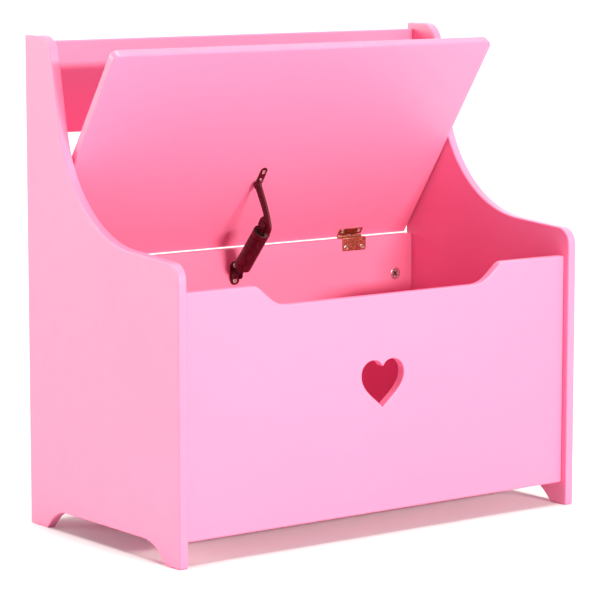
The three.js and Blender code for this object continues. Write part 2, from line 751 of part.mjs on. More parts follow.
// The arm's frame: +Z from the knee to the lid's foot, +Y towards the back of the box.
function armBody() {
  const contactAngle = Math.atan2(-kneeVector.y, -kneeVector.x) - armTilt; // from the knee to the base pivot
  const degrees = THREE.MathUtils.degToRad;
  const cam = new THREE.Shape();
  const count = 40;
  const spiralFrom = contactAngle - degrees(60);
  const spiralTo = contactAngle + degrees(58);
  for (let i = 0; i < count; i++) {
    const angle = spiralTo - (2 * Math.PI * i) / count;
    const spiral = contactRadius + camGrowth * THREE.MathUtils.radToDeg(angle - contactAngle);
    const radius = angle >= spiralFrom ? spiral : frontCamRadius;
    const point = [radius * Math.cos(angle), radius * Math.sin(angle)];
    if (i) cam.lineTo(...point);
    else cam.moveTo(...point);
  }
  cam.closePath();
  cam.holes.push(circleHole(0, 0, rivet.radius + gap));
  const { halfWidth, bulge, head, headY, slotReach, slotRadius, thickness } = armPlate;
  const innerEdge = -frontCamRadius + 2 * halfWidth;
  const bar = new THREE.Shape();
  bar.moveTo(-frontCamRadius, 0);
  bar.lineTo(innerEdge + 3, 6);
  bar.lineTo(innerEdge + 0.5, 16);
  bar.lineTo(halfWidth, armLength - 2);
  bar.lineTo(-halfWidth - 1, armLength);
  bar.lineTo(bulge.y, bulge.z);
  bar.closePath();
  const end = new THREE.Shape().absarc(headY, armLength, head, 0, 2 * Math.PI, false);
  const clearance = slotPath(new THREE.Shape(), headY, armLength, slotReach, slotRadius);
  const plates = [cam, bar, end].map((shape) => acrossX(shape, thickness, 0));
  const tool = acrossX(clearance, thickness + 2, 0);
  const pivotTool = barX(rivet.radius + gap, -thickness, thickness, 0, 0, 16);
  return cut(join(...plates), tool, pivotTool);
}

function addLidStay(cabinet, lid, root) {
  cabinet.add(part("stay_wall_foot", wallFootBody(), stayPaint));
  const baseRivet = part("stay_base_rivet", rivetBody(forkGap + wallFoot.thickness), stayPaint);
  baseRivet.position.set(stayX, stayBase.y, stayBase.z);
  cabinet.add(baseRivet);
  wallFoot.screwZs.forEach((z, i) => {
    const wallScrew = part(`stay_wall_screw_${i + 1}`, screwBody().applyMatrix4(faceFront), zinc);
    wallScrew.position.set(wallFoot.x, backPanelInnerY - gap - wallFoot.thickness, z);
    cabinet.add(wallScrew);
  });

  lid.add(part("stay_lid_foot", lidFootBody(), stayPaint));
  const lidRivet = part("stay_lid_rivet", lidRivetBody(), stayPaint);
  lidRivet.position.set(stayX, -stayLidPoint.along, -stayLidPoint.below);
  lid.add(lidRivet);
  lidFoot.screwAlong.forEach((along, i) => {
    const footScrew = part(`stay_lid_screw_${i + 1}`, screwBody().applyMatrix4(faceDown), zinc);
    footScrew.position.set(lidFoot.x, -along, lidUnderside - gap - lidFoot.thickness);
    lid.add(footScrew);
  });

  const leg = new THREE.Group();
  leg.position.set(stayX, stayBase.y, stayBase.z);
  leg.rotation.x = strapTilt;
  leg.add(part("stay_strap", strapBody(), stayPaint));
  leg.add(part("stay_tube", tubeBody(), stayPaint));
  leg.add(part("stay_follower", followerBody(), steel));
  leg.add(part("stay_spring", springBody(), steel));
  const kneeRivet = part("stay_knee_rivet", rivetBody(strap.inner + strap.thickness), stayPaint);
  kneeRivet.position.z = strapLength;
  leg.add(kneeRivet);
  root.add(leg);

  const arm = part("stay_arm", armBody(), stayPaint);
  arm.position.set(stayX, stayKnee.y, stayKnee.z);
  arm.rotation.x = armTilt;
  root.add(arm);
}

// A rivet that holds the arm against the lid foot's ear.
function lidRivetBody() {
  const left = -armPlate.thickness / 2 - gap;
  const right = armPlate.thickness / 2 + gap + lidFoot.thickness + gap;
  const { radius, head, headHeight, tail, tailHeight } = lidRivet;
  const profile = [
    [0, left - headHeight],
    [head * 0.7, left - headHeight],
    [head, left],
    [radius, left],
    [radius, right],
    [tail, right],
    [tail, right + tailHeight],
    [0, right + tailHeight],
  ].map(([r, x]) => new THREE.Vector2(r, x));
  return new THREE.LatheGeometry(profile, 12).rotateZ(-Math.PI / 2);
}

// ---- the whole box ----
const toyBox = new THREE.Group();
const cabinet = new THREE.Group();
cabinet.add(
  part("left_side_panel", sidePanel(-1), paint),
  part("right_side_panel", sidePanel(1), paint),
  part("front_panel", frontPanel(), paint),
  part("back_panel", backPanel(), paint),
  part("backrest_rail", backrestRail(), paint),
  part("bottom_panel", bottomPanel(), paint),
);
addCamFittings(cabinet);
addDowels(cabinet);

const lidGroup = new THREE.Group();
lidGroup.position.set(0, hingeAxis.y, hingeAxis.z);
lidGroup.rotation.x = -openAngle;
lidGroup.add(part("lid", lidBoard(), paint));

toyBox.add(cabinet, lidGroup);
addHinges(cabinet, lidGroup);
addLidStay(cabinet, lidGroup, toyBox);

export default toyBox;
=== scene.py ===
import json
import math

import bpy
import numpy as np
from mathutils import Euler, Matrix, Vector
from mathutils.geometry import delaunay_2d_cdt


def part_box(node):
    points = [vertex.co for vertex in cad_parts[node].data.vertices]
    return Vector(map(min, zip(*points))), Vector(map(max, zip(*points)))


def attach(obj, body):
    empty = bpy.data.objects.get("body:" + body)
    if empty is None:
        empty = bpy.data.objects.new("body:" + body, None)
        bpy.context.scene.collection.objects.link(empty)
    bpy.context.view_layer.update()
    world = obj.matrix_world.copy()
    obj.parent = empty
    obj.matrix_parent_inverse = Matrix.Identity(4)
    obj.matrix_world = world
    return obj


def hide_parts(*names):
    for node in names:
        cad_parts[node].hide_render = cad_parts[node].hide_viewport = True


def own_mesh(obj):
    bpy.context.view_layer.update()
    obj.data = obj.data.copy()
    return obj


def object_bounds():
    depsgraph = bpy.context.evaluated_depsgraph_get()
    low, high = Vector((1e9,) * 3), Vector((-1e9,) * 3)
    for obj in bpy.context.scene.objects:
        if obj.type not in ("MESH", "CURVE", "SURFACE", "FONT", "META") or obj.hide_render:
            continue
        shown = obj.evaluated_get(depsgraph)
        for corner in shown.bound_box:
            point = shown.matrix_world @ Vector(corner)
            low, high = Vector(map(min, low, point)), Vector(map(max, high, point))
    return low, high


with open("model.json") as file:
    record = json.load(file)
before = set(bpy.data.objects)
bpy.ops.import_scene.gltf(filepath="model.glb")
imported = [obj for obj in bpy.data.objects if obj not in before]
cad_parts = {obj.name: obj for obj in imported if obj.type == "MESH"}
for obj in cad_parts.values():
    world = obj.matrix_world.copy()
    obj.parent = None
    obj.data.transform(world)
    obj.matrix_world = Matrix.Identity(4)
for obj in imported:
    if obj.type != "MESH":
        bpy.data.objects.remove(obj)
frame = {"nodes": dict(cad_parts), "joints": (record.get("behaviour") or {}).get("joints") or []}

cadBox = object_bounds()
mm = 0.001
gap = 0.3 * mm  # left between pieces that touch
axisX, axisY, axisZ = np.eye(3)


# An outline loop is (points, outward normals), both n by 2, anticlockwise.


def roundedLoop(corners, arcStep=0.8 * mm):
    # Through (u, v, radius) corners: each corner is an arc tangent to its two straight sides.
    points, normals = [], []
    for i, (u, v, radius) in enumerate(corners):
        here = np.array([u, v])
        before = np.array(corners[i - 1][:2]) - here
        after = np.array(corners[(i + 1) % len(corners)][:2]) - here
        before /= np.linalg.norm(before)
        after /= np.linalg.norm(after)
        half = math.acos(before @ after) / 2
        bend = 1 if before[0] * after[1] - before[1] * after[0] < 0 else -1
        inward = (before + after) / np.linalg.norm(before + after)
        centre = here + inward * radius / math.sin(half)
        start = here + before * radius / math.tan(half) - centre
        sweep = (math.pi - 2 * half) * bend
        count = max(4, math.ceil(abs(sweep) * radius / arcStep), math.ceil(abs(sweep) / 0.2)) + 1
        angle = math.atan2(start[1], start[0]) + np.linspace(0, sweep, min(count, 60))
        ray = np.stack([np.cos(angle), np.sin(angle)], 1)
        points.append(centre + radius * ray)
        normals.append(bend * ray)
    return np.concatenate(points), np.concatenate(normals)


def circleLoop(u, v, radius, count=48):
    # Points of a circle about (u, v).
    angle = np.linspace(0, 2 * math.pi, count, endpoint=False)
    ray = np.stack([np.cos(angle), np.sin(angle)], 1)
    return np.array([u, v]) + radius * ray, ray


def drawnLoop(points):
    # Any closed row of points: the normal is a quarter turn right of the chord between neighbours.
    chord = np.roll(points, -1, 0) - np.roll(points, 1, 0)
    chord /= np.linalg.norm(chord, axis=1)[:, None]
    return points, np.stack([chord[:, 1], -chord[:, 0]], 1)


def rectangle(u0, u1, v0, v1, radius, farRadius=None):
    # The corners at v1 have farRadius, where it is given.
    far = radius if farRadius is None else farRadius
    return roundedLoop([(u0, v0, radius), (u1, v0, radius), (u1, v1, far), (u0, v1, far)])


halfRound = 0.999  # of the half width: an end this round still leaves its straight sides a length


def stadium(u, v, reach, radius, alongV=False):
    # A slot shape: half circles at reach on both sides of (u, v), joined by straight sides.
    du, dv = (radius, reach + radius) if alongV else (reach + radius, radius)
    return rectangle(u - du, u + du, v - dv, v + dv, radius * halfRound)


def mirrored(corners):
    return [(-u, v, radius) for u, v, radius in reversed(corners)]


def asHole(loop):
    points, normals = loop
    return points[::-1], -normals[::-1]


# A profile is (insets from the loop, heights), from the upper face down.


def rimProfile(thickness, roundness, steps=6):
    # A quarter circle, a straight wall and another quarter circle.
    t = np.linspace(0, math.pi / 2, steps + 1)
    inset = roundness * (1 - np.sin(t))
    drop = roundness * (1 - np.cos(t))
    return np.concatenate([inset, inset[::-1]]), np.concatenate([thickness - drop, drop[::-1]])


def pocketProfile(top, depth, lip, steps=3):
    # A small rounded lip, then straight down to the floor of a blind hole.
    t = np.linspace(0, math.pi / 2, steps + 1)
    inset = np.append(lip * (1 - np.sin(t)), 0)
    return inset, np.append(top - lip * (1 - np.cos(t)), top - depth)


def turnedProfile(reference, rows):
    # (radius, height) rows as insets from a circle of the reference radius.
    radius, height = np.array(rows, float).T
    return reference - radius, height


def wallBlock(loop, profile):
    # Point (i, j) is loop point i moved in by inset j, at height j: a grid closed round the loop.
    points, normals = loop
    inset, height = profile
    flat = points[:, None, :] - normals[:, None, :] * inset[None, :, None]
    grid = np.concatenate([flat, np.broadcast_to(height[None, :, None], flat.shape[:2] + (1,))], 2)
    n, m = len(points), len(inset)
    i, j = np.meshgrid(np.arange(n), np.arange(m - 1), indexing="ij")
    k = (i + 1) % n
    faces = np.stack([i * m + j, i * m + j + 1, k * m + j + 1, k * m + j], -1).reshape(-1, 4)
    return grid, faces.tolist()


def capFaces(rings, faceUp):
    # Triangles between the rings, kept where a ray from the middle crosses the rings an odd number of times.
    flat = np.concatenate([ring[:, :2] for ring in rings]) / mm
    edges, start = [], 0
    for ring in rings:
        index = np.arange(len(ring))
        edges += np.stack([start + index, start + (index + 1) % len(ring)], 1).tolist()
        start += len(ring)
    made = delaunay_2d_cdt([Vector(p) for p in flat], edges, [], 1, 1e-6)
    origin = np.array([sources[0] for sources in made[3]])
    faces = origin[np.array(made[2])]
    middle = flat[faces].mean(1)
    crossings = np.zeros(len(faces), int)
    for ring in rings:
        a = ring[:, :2] / mm
        b = np.roll(a, -1, 0)
        spans = (a[:, 1] > middle[:, None, 1]) != (b[:, 1] > middle[:, None, 1])
        run = np.where(a[:, 1] == b[:, 1], 1, b[:, 1] - a[:, 1])
        meet = a[:, 0] + (middle[:, None, 1] - a[:, 1]) * (b[:, 0] - a[:, 0]) / run
        crossings += (spans & (meet > middle[:, None, 0])).sum(1)
    faces = faces[crossings % 2 == 1]
    return (faces if faceUp else faces[:, ::-1]).tolist()


def solidBlocks(outer, holes=(), pockets=()):
    # A closed plate or shell: its wall, through holes, blind pockets, and the flat faces between them.
    blocks, tops, lows = [], [], []
    for kind, items in (("outer", [outer]), ("hole", holes), ("pocket", pockets)):
        for loop, profile in items:
            grid, faces = wallBlock(loop, profile)
            n, m = grid.shape[:2]
            rim = np.ones((n, m))
            rim[:, 0] = 0
            raw = np.zeros((n, m))
            if kind == "pocket":
                rim[:] = 0
                # This mask marks pocket walls and floors: bare board under the pink paint, painted shade in
                # the cross recesses of metal parts.
                raw[:, 3:] = 1
                faces.append([int(i) * m + m - 1 for i in range(n)][::-1])
            else:
                rim[:, -1] = 0
                lows.append(grid[:, -1])
            tops.append(grid[:, 0])
            blocks.append((grid.reshape(-1, 3), faces, rim.ravel(), raw.ravel()))
    for rings, faceUp in ((tops, True), (lows, False)):
        points = np.concatenate(rings)
        zeros = np.zeros(len(points))
        blocks.append((points, capFaces(rings, faceUp), zeros, zeros))
    return blocks


def placed(blocks, origin, across, up):
    # Carries blocks from their own (u, v, height) into the object's frame.
    turn = np.stack([across, up, np.cross(across, up)])
    return [(points @ turn + np.array(origin), faces, rim, raw) for points, faces, rim, raw in blocks]


# Points closer than weld are joined, and edges sharper than crease stay crisp.
meshLook = {"weld": 1e-6, "crease": math.radians(38)}


def makePiece(name, blocks, body, node, slotName):
    # Joins the blocks, welds their shared points, and shades curved faces smooth between creases.
    points = np.concatenate([b[0] for b in blocks])
    offsets = np.cumsum([0] + [len(b[0]) for b in blocks])
    rounded = np.round(points / meshLook["weld"])
    _, first, where = np.unique(rounded, axis=0, return_index=True, return_inverse=True)
    where = where.ravel()
    faces = []
    for (_, blockFaces, _, _), offset in zip(blocks, offsets):
        for face in blockFaces:
            welded = list(dict.fromkeys(int(where[v + offset]) for v in face))
            if len(welded) > 2:
                faces.append(welded)
    mesh = bpy.data.meshes.new(name)
    mesh.from_pydata(points[first].tolist(), [], faces)
    for label, column in (("rim", 2), ("raw", 3)):
        values = np.zeros(len(first))
        np.maximum.at(values, where, np.concatenate([b[column] for b in blocks]))
        mesh.attributes.new(label, "FLOAT", "POINT").data.foreach_set("value", values.astype(np.float32))
    mesh.validate()
    mesh.shade_smooth()
    mesh.set_sharp_from_angle(angle=meshLook["crease"])
    mesh.materials.append(materials[slotName])
    piece = bpy.data.objects.new(name, mesh)
    bpy.context.scene.collection.objects.link(piece)
    weighted = piece.modifiers.new("even shading", "WEIGHTED_NORMAL")
    weighted.keep_sharp = True
    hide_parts(node)
    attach(piece, body)
    return piece


def shaderGroup(name, inputs, outputs):
    group = bpy.data.node_groups.new(name, "ShaderNodeTree")
    for label, kind, value in inputs:
        socket = group.interface.new_socket(name=label, in_out="INPUT", socket_type=kind)
        if value is not None:
            socket.default_value = value
    for label in outputs:
        group.interface.new_socket(name=label, in_out="OUTPUT", socket_type="NodeSocketFloat")
    return group, group.nodes.new("NodeGroupInput"), group.nodes.new("NodeGroupOutput")


def noiseNode(tree, vector, scale, detail=2.0, roughness=0.5):
    node = tree.nodes.new("ShaderNodeTexNoise")
    node.inputs["Detail"].default_value = detail
    node.inputs["Roughness"].default_value = roughness
    tree.links.new(vector, node.inputs["Vector"])
    if isinstance(scale, (int, float)):
        node.inputs["Scale"].default_value = scale
    else:
        tree.links.new(scale, node.inputs["Scale"])
    return node.outputs["Fac"]


def mathNode(tree, operation, a, b=None, clamp=False):
    node = tree.nodes.new("ShaderNodeMath")
    node.operation = operation
    node.use_clamp = clamp
    for socket, value in zip(node.inputs, (a, b)):
        if isinstance(value, (int, float)):
            socket.default_value = value
        elif value is not None:
            tree.links.new(value, socket)
    return node.outputs[0]


def weightedSum(tree, *terms):
    # The sum of (value, weight) pairs.
    scaled = [mathNode(tree, "MULTIPLY", value, weight) for value, weight in terms]
    total = scaled[0]
    for term in scaled[1:]:
        total = mathNode(tree, "ADD", total, term)
    return total


def rangeNode(tree, value, low, high, toLow=0.0, toHigh=1.0):
    node = tree.nodes.new("ShaderNodeMapRange")
    tree.links.new(value, node.inputs["Value"])
    for label, number in (("From Min", low), ("From Max", high), ("To Min", toLow), ("To Max", toHigh)):
        node.inputs[label].default_value = number
    return node.outputs["Result"]


def paintSkinGroup():
    # Sprayed paint: orange peel, slow waves of the lay, and a few dust nibs under the film.
    inputs = [("Vector", "NodeSocketVector", None), ("Peel Scale", "NodeSocketFloat", 700.0)]
    group, given, put = shaderGroup("paint skin", inputs, ["Height", "Drift", "Roughness"])
    vector = given.outputs["Vector"]
    peel = noiseNode(group, vector, given.outputs["Peel Scale"], 2.0)
    lay = noiseNode(group, vector, 42.0, 3.0)
    slow = noiseNode(group, vector, 3.5, 3.0)
    nibs = group.nodes.new("ShaderNodeTexVoronoi")
    nibs.inputs["Scale"].default_value = 60.0
    group.links.new(vector, nibs.inputs["Vector"])
    nib = rangeNode(group, nibs.outputs["Distance"], 0.0, 0.035, 1.0, 0.0)
    height = weightedSum(group, (peel, 0.55), (lay, 0.6), (nib, 0.25))
    drift = weightedSum(group, (slow, 0.7), (lay, 0.3))
    group.links.new(height, put.inputs["Height"])
    group.links.new(rangeNode(group, drift, 0.35, 0.65), put.inputs["Drift"])
    group.links.new(rangeNode(group, lay, 0.3, 0.7), put.inputs["Roughness"])
    return group


def edgeWearAndHighlightGroup():
    # Breaks the rim mask up with grain, so that wear comes in short runs along an edge. On the pink paint the
    # same mask also lays a painted highlight along the rounded edges.
    inputs = [
        ("Vector", "NodeSocketVector", None),
        ("Rim", "NodeSocketFloat", 0.0),
        ("Threshold", "NodeSocketFloat", 0.62),
    ]
    group, given, put = shaderGroup("edge wear", inputs, ["Mask"])
    runs = noiseNode(group, given.outputs["Vector"], 55.0, 6.0, 0.65)
    over = mathNode(group, "SUBTRACT", runs, given.outputs["Threshold"])
    steep = mathNode(group, "MULTIPLY", over, 9.0, clamp=True)
    mask = mathNode(group, "MULTIPLY", steep, given.outputs["Rim"])
    group.links.new(mask, put.inputs["Mask"])
    return group


def metalGrainGroup():
    # Tumbled metal: mottled tarnish, fine pits and faint streaks.
    inputs = [
        ("Vector", "NodeSocketVector", None),
        ("Mottle Scale", "NodeSocketFloat", 400.0),
        ("Streak", "NodeSocketVector", (1.0, 1.0, 1.0)),
    ]
    group, given, put = shaderGroup("metal grain", inputs, ["Tarnish", "Height", "Roughness"])
    vector = given.outputs["Vector"]
    stretched = group.nodes.new("ShaderNodeVectorMath")
    stretched.operation = "MULTIPLY"
    group.links.new(vector, stretched.inputs[0])
    group.links.new(given.outputs["Streak"], stretched.inputs[1])
    mottle = noiseNode(group, vector, given.outputs["Mottle Scale"], 4.0, 0.6)
    streaks = noiseNode(group, stretched.outputs[0], 900.0, 3.0, 0.6)
    pits = noiseNode(group, vector, 2600.0, 2.0)
    height = weightedSum(group, (streaks, 0.6), (pits, 0.4))
    group.links.new(rangeNode(group, mottle, 0.36, 0.64), put.inputs["Tarnish"])
    group.links.new(height, put.inputs["Height"])
    group.links.new(rangeNode(group, streaks, 0.3, 0.7), put.inputs["Roughness"])
    return group


groups = {"paintSkin": paintSkinGroup(), "edgeWear": edgeWearAndHighlightGroup(), "metalGrain": metalGrainGroup()}


def newMaterial(name):
    material = bpy.data.materials.new(name)
    material.use_nodes = True
    tree = material.node_tree
    return material, tree, tree.nodes["Principled BSDF"]


def objectPoints(tree):
    return tree.nodes.new("ShaderNodeTexCoord").outputs["Object"]


def pieceAttribute(tree, label):
    node = tree.nodes.new("ShaderNodeAttribute")
    node.attribute_name = label
    return node.outputs["Fac"]


def useGroup(tree, key, **links):
    node = tree.nodes.new("ShaderNodeGroup")
    node.node_tree = groups[key]
    for label, value in links.items():
        socket = node.inputs[label.replace("_", " ")]
        if isinstance(value, bpy.types.NodeSocket):
            tree.links.new(value, socket)
        else:
            socket.default_value = value
    return node.outputs


def mixColour(tree, factor, a, b):
    node = tree.nodes.new("ShaderNodeMix")
    node.data_type = "RGBA"
    if isinstance(factor, (int, float)):
        node.inputs[0].default_value = factor
    else:
        tree.links.new(factor, node.inputs[0])
    for socket, value in ((node.inputs[6], a), (node.inputs[7], b)):
        if isinstance(value, bpy.types.NodeSocket):
            tree.links.new(value, socket)
        else:
            socket.default_value = (*value, 1)
    return node.outputs[2]


def bumpInto(tree, shader, height, distance, strength=1.0):
    node = tree.nodes.new("ShaderNodeBump")
    node.inputs["Strength"].default_value = strength
    node.inputs["Distance"].default_value = distance
    tree.links.new(height, node.inputs["Height"])
    tree.links.new(node.outputs["Normal"], shader.inputs["Normal"])


pinkPaintLook = {
    "colour": (0.905, 0.224, 0.430),
    "deeper": (0.895, 0.214, 0.415),
    # thinEdge is a lighter pink for the rims: partly thinner paint at the arrises, partly a painted highlight
    # of the rounded edges.
    "thinEdge": (0.92, 0.29, 0.49),
    "gloss": 0.6,
    "rawBoard": (0.42, 0.27, 0.16),
    "roughness": (0.36, 0.46),
    "peelDistance": 0.00006,
}


def pinkPaintMaterial():
    look = pinkPaintLook
    material, tree, shader = newMaterial("pink paint")
    points = objectPoints(tree)
    rim = pieceAttribute(tree, "rim")
    raw = pieceAttribute(tree, "raw")
    skin = useGroup(tree, "paintSkin", Vector=points)
    # The rim mask lightens the paint towards thinEdge: partly thinner paint, partly a painted highlight along
    # the rounded edges.
    wear = useGroup(tree, "edgeWear", Vector=points, Rim=rim)
    colour = mixColour(tree, skin["Drift"], look["colour"], look["deeper"])
    colour = mixColour(tree, mathNode(tree, "MULTIPLY", wear["Mask"], 0.5), colour, look["thinEdge"])
    colour = mixColour(tree, raw, colour, look["rawBoard"])
    tree.links.new(colour, shader.inputs["Base Color"])
    low, high = look["roughness"]
    satin = rangeNode(tree, skin["Roughness"], 0.0, 1.0, low, high)
    satin = mathNode(tree, "ADD", satin, mathNode(tree, "MULTIPLY", raw, 0.45))
    tree.links.new(satin, shader.inputs["Roughness"])
    shader.inputs["Specular IOR Level"].default_value = look["gloss"]
    bumpInto(tree, shader, skin["Height"], look["peelDistance"])
    return material


# recess is how dark the cross recesses of screws and cam locks are painted, as a share of the dull colour:
# painted shade.
metalLook = {"recess": 0.08, "worn": 1.5, "wear": 0.6, "threshold": 0.5, "depth": 0.00002}


def metalMaterial(name, bright, dull, roughness, mottle, streak, metallic=1.0, gloss=0.5):
    look = metalLook
    material, tree, shader = newMaterial(name)
    points = objectPoints(tree)
    grain = useGroup(tree, "metalGrain", Vector=points, Mottle_Scale=mottle, Streak=streak)
    rim = pieceAttribute(tree, "rim")
    wear = useGroup(tree, "edgeWear", Vector=points, Rim=rim, Threshold=look["threshold"])
    colour = mixColour(tree, grain["Tarnish"], dull, bright)
    # Pocket walls and floors fade to near black here: painted shade in the cross recesses.
    colour = mixColour(tree, pieceAttribute(tree, "raw"), colour, tuple(look["recess"] * c for c in dull))
    worn = tuple(min(1, look["worn"] * c) for c in bright)
    colour = mixColour(tree, mathNode(tree, "MULTIPLY", wear["Mask"], look["wear"]), colour, worn)
    tree.links.new(colour, shader.inputs["Base Color"])
    tree.links.new(rangeNode(tree, grain["Roughness"], 0.0, 1.0, *roughness), shader.inputs["Roughness"])
    shader.inputs["Metallic"].default_value = metallic
    shader.inputs["Specular IOR Level"].default_value = gloss
    bumpInto(tree, shader, grain["Height"], look["depth"])
    return material


def beechMaterial():
    material, tree, shader = newMaterial("beech")
    points = objectPoints(tree)
    grain = useGroup(tree, "metalGrain", Vector=points, Mottle_Scale=300.0, Streak=(0.05, 1.0, 1.0))
    colour = mixColour(tree, grain["Roughness"], (0.42, 0.26, 0.13), (0.66, 0.46, 0.27))
    tree.links.new(colour, shader.inputs["Base Color"])
    tree.links.new(rangeNode(tree, grain["Tarnish"], 0.0, 1.0, 0.6, 0.8), shader.inputs["Roughness"])
    bumpInto(tree, shader, grain["Height"], 0.00008)
    return material


materials = {
    "pink_paint": pinkPaintMaterial(),
    "antique_brass": metalMaterial(
        "antique brass", (0.56, 0.27, 0.17), (0.26, 0.07, 0.05), (0.22, 0.42), 620.0, (0.3, 1.0, 1.0)
    ),
    "stay_paint": metalMaterial(
        "dark maroon paint",
        (0.098, 0.004, 0.014),
        (0.060, 0.003, 0.009),
        (0.22, 0.36),
        260.0,
        (1.0, 1.0, 0.3),
        metallic=0.0,
        gloss=0.22,
    ),
    "zinc": metalMaterial(
        "zinc", (0.80, 0.78, 0.77), (0.48, 0.46, 0.46), (0.20, 0.38), 900.0, (1.0, 1.0, 1.0)
    ),
    "steel": metalMaterial(
        "steel", (0.13, 0.11, 0.09), (0.06, 0.05, 0.04), (0.22, 0.36), 700.0, (0.2, 1.0, 1.0)
    ),
    "beech": beechMaterial(),
}
keptFinishes = {
    "hinge": "antique_brass",
    "stay": "stay_paint",
    "cam": "zinc",
    "bottom_dowel": "beech",
}
for node, cadPiece in frame["nodes"].items():
    matches = [slotName for start, slotName in keptFinishes.items() if node.startswith(start)]
    finish = matches[0] if matches else "pink_paint"
    cadPiece.data.materials.clear()
    cadPiece.data.materials.append(materials[finish])
print("materials ready")


boardLook = {"edge": 2.2 * mm, "thinEdge": 1.0 * mm, "cornerEase": 2.6 * mm, "lip": 0.35 * mm}
fittingLook = {"bore": 7.8 * mm, "boreDepth": 10.6 * mm, "boltBore": 3.3 * mm, "boltDepth": 9.3 * mm}

sideLook = {
    "crestY": 0.1065,  # where the level top of the back post ends
    "crestRadius": 0.026,
    "sweepY": 0.0605,  # meeting point of the post's front and the arm's top
    "sweepZ": 0.363,
    "sweepRadius": 0.160,
    "armZ": 0.3485,
    "armRadius": 0.021,
    "footFront": 0.029,
    "archFront": 0.055,
    "archFrontRadius": 0.055,
    "footBack": 0.038,
    "archBack": 0.061,
    "archBackRadius": 0.045,
    "archHeight": 0.024,
}


def sideCorners(low, high):
    s = sideLook
    ease = boardLook["cornerEase"]
    return [
        (high.y, low.z, ease),
        (high.y, high.z, ease),
        (s["crestY"], high.z, s["crestRadius"]),
        (s["sweepY"], s["sweepZ"], s["sweepRadius"]),
        (low.y, s["armZ"], s["armRadius"]),
        (low.y, low.z, ease),
        (low.y + s["footFront"], low.z, ease),
        (low.y + s["archFront"], low.z + s["archHeight"], s["archFrontRadius"]),
        (high.y - s["archBack"], low.z + s["archHeight"], s["archBackRadius"]),
        (high.y - s["footBack"], low.z, ease),
    ]


def nodeCentre(node):
    low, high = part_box(node)
    return (low + high) / 2


def addSidePanel(name, sign):
    low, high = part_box(f"{name}_side_panel")
    thickness = high.x - low.x
    corners = sideCorners(low, high)
    if sign > 0:
        corners = mirrored(corners)
    outer = (roundedLoop(corners), rimProfile(thickness, boardLook["edge"]))
    pockets = []
    kinds = ("cam_bolt", "bottom_dowel")
    for insert in sorted(n for n in frame["nodes"] if n.startswith(kinds) and n.endswith(f"_{name}")):
        middle = nodeCentre(insert)
        hole = asHole(circleLoop(-sign * middle.y, middle.z, fittingLook["boltBore"], 32))
        pockets.append((hole, pocketProfile(thickness, fittingLook["boltDepth"], 0.2 * mm)))
    blocks = solidBlocks(outer, pockets=pockets)
    origin = (high.x if sign > 0 else low.x, 0, 0)
    blocks = placed(blocks, origin, -sign * axisY, axisZ)
    makePiece(f"{name}_side_board", blocks, "cabinet", f"{name}_side_panel", "pink_paint")


def camPockets(panel, turn, thickness):
    # Blind round holes about every cam lock of a panel, drawn with u turned to match the board.
    pockets = []
    for node in sorted(n for n in frame["nodes"] if n.startswith(f"cam_lock_{panel}")):
        middle = nodeCentre(node)
        hole = asHole(circleLoop(turn * middle.x, middle.z, fittingLook["bore"], 40))
        pockets.append((hole, pocketProfile(thickness, fittingLook["boreDepth"], boardLook["lip"])))
    return pockets


frontLook = {
    "scoopDrop": 0.025,
    "scoopHalfTop": 0.185,
    "scoopHalfFloor": 0.155,
    "topRadius": 0.014,
    "floorRadius": 0.04,
    "heartEdge": 1.4 * mm,
}
heartLook = {
    "tipZ": 0.155,
    "notchZ": 0.2045,
    "shoulderZ": 0.195,
    "half": 0.032,
    "crown": 0.014,
    "notchRadius": 0.0016,
}


def bezier(a, b, c, d, count=20):
    # A cubic curve between a and d with handles b and c, without its last point.
    t = np.linspace(0, 1, count, endpoint=False)[:, None]
    a, b, c, d = (np.array(p, float) for p in (a, b, c, d))
    return (1 - t) ** 3 * a + 3 * (1 - t) ** 2 * t * b + 3 * (1 - t) * t**2 * c + t**3 * d


def heartLoop():
    # Right side up from the tip, right lobe, the rounded point between the lobes, then the mirror image.
    h = heartLook
    tip = np.array([0, h["tipZ"]])
    shoulder = np.array([h["half"], h["shoulderZ"]])
    lean = math.atan2(8, 15)
    r = h["notchRadius"]
    centre = np.array([0, h["notchZ"] + r])
    meet = centre + r * np.array([math.cos(lean), -math.sin(lean)])
    rise = h["crown"]
    side = bezier(tip, tip + (0.012, 0.012), shoulder - (0, 0.018), shoulder)
    aboveMeet = meet + rise * np.array([math.sin(lean), math.cos(lean)])
    lobe = bezier(shoulder, shoulder + (0, 0.018), aboveMeet, meet)
    angle = -lean + np.linspace(0, -(math.pi / 2 - lean), 6)
    nose = centre + r * np.stack([np.cos(angle), np.sin(angle)], 1)
    right = np.concatenate([side, lobe, nose])
    left = right[1:-1][::-1] * (-1, 1)
    return drawnLoop(np.concatenate([right, left]))


def addFrontPanel():
    s = frontLook
    low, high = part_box("front_panel")
    thickness = high.y - low.y
    ease = boardLook["cornerEase"]
    floorZ = high.z - s["scoopDrop"]
    corners = [
        (low.x, low.z, ease),
        (high.x, low.z, ease),
        (high.x, high.z, ease),
        (s["scoopHalfTop"], high.z, s["topRadius"]),
        (s["scoopHalfFloor"], floorZ, s["floorRadius"]),
        (-s["scoopHalfFloor"], floorZ, s["floorRadius"]),
        (-s["scoopHalfTop"], high.z, s["topRadius"]),
        (low.x, high.z, ease),
    ]
    outer = (roundedLoop(corners), rimProfile(thickness, boardLook["edge"]))
    heart = (asHole(heartLoop()), rimProfile(thickness, s["heartEdge"]))
    blocks = solidBlocks(outer, [heart], camPockets("front", -1, thickness))
    blocks = placed(blocks, (0, low.y, 0), -axisX, axisZ)
    makePiece("front_board", blocks, "cabinet", "front_panel", "pink_paint")


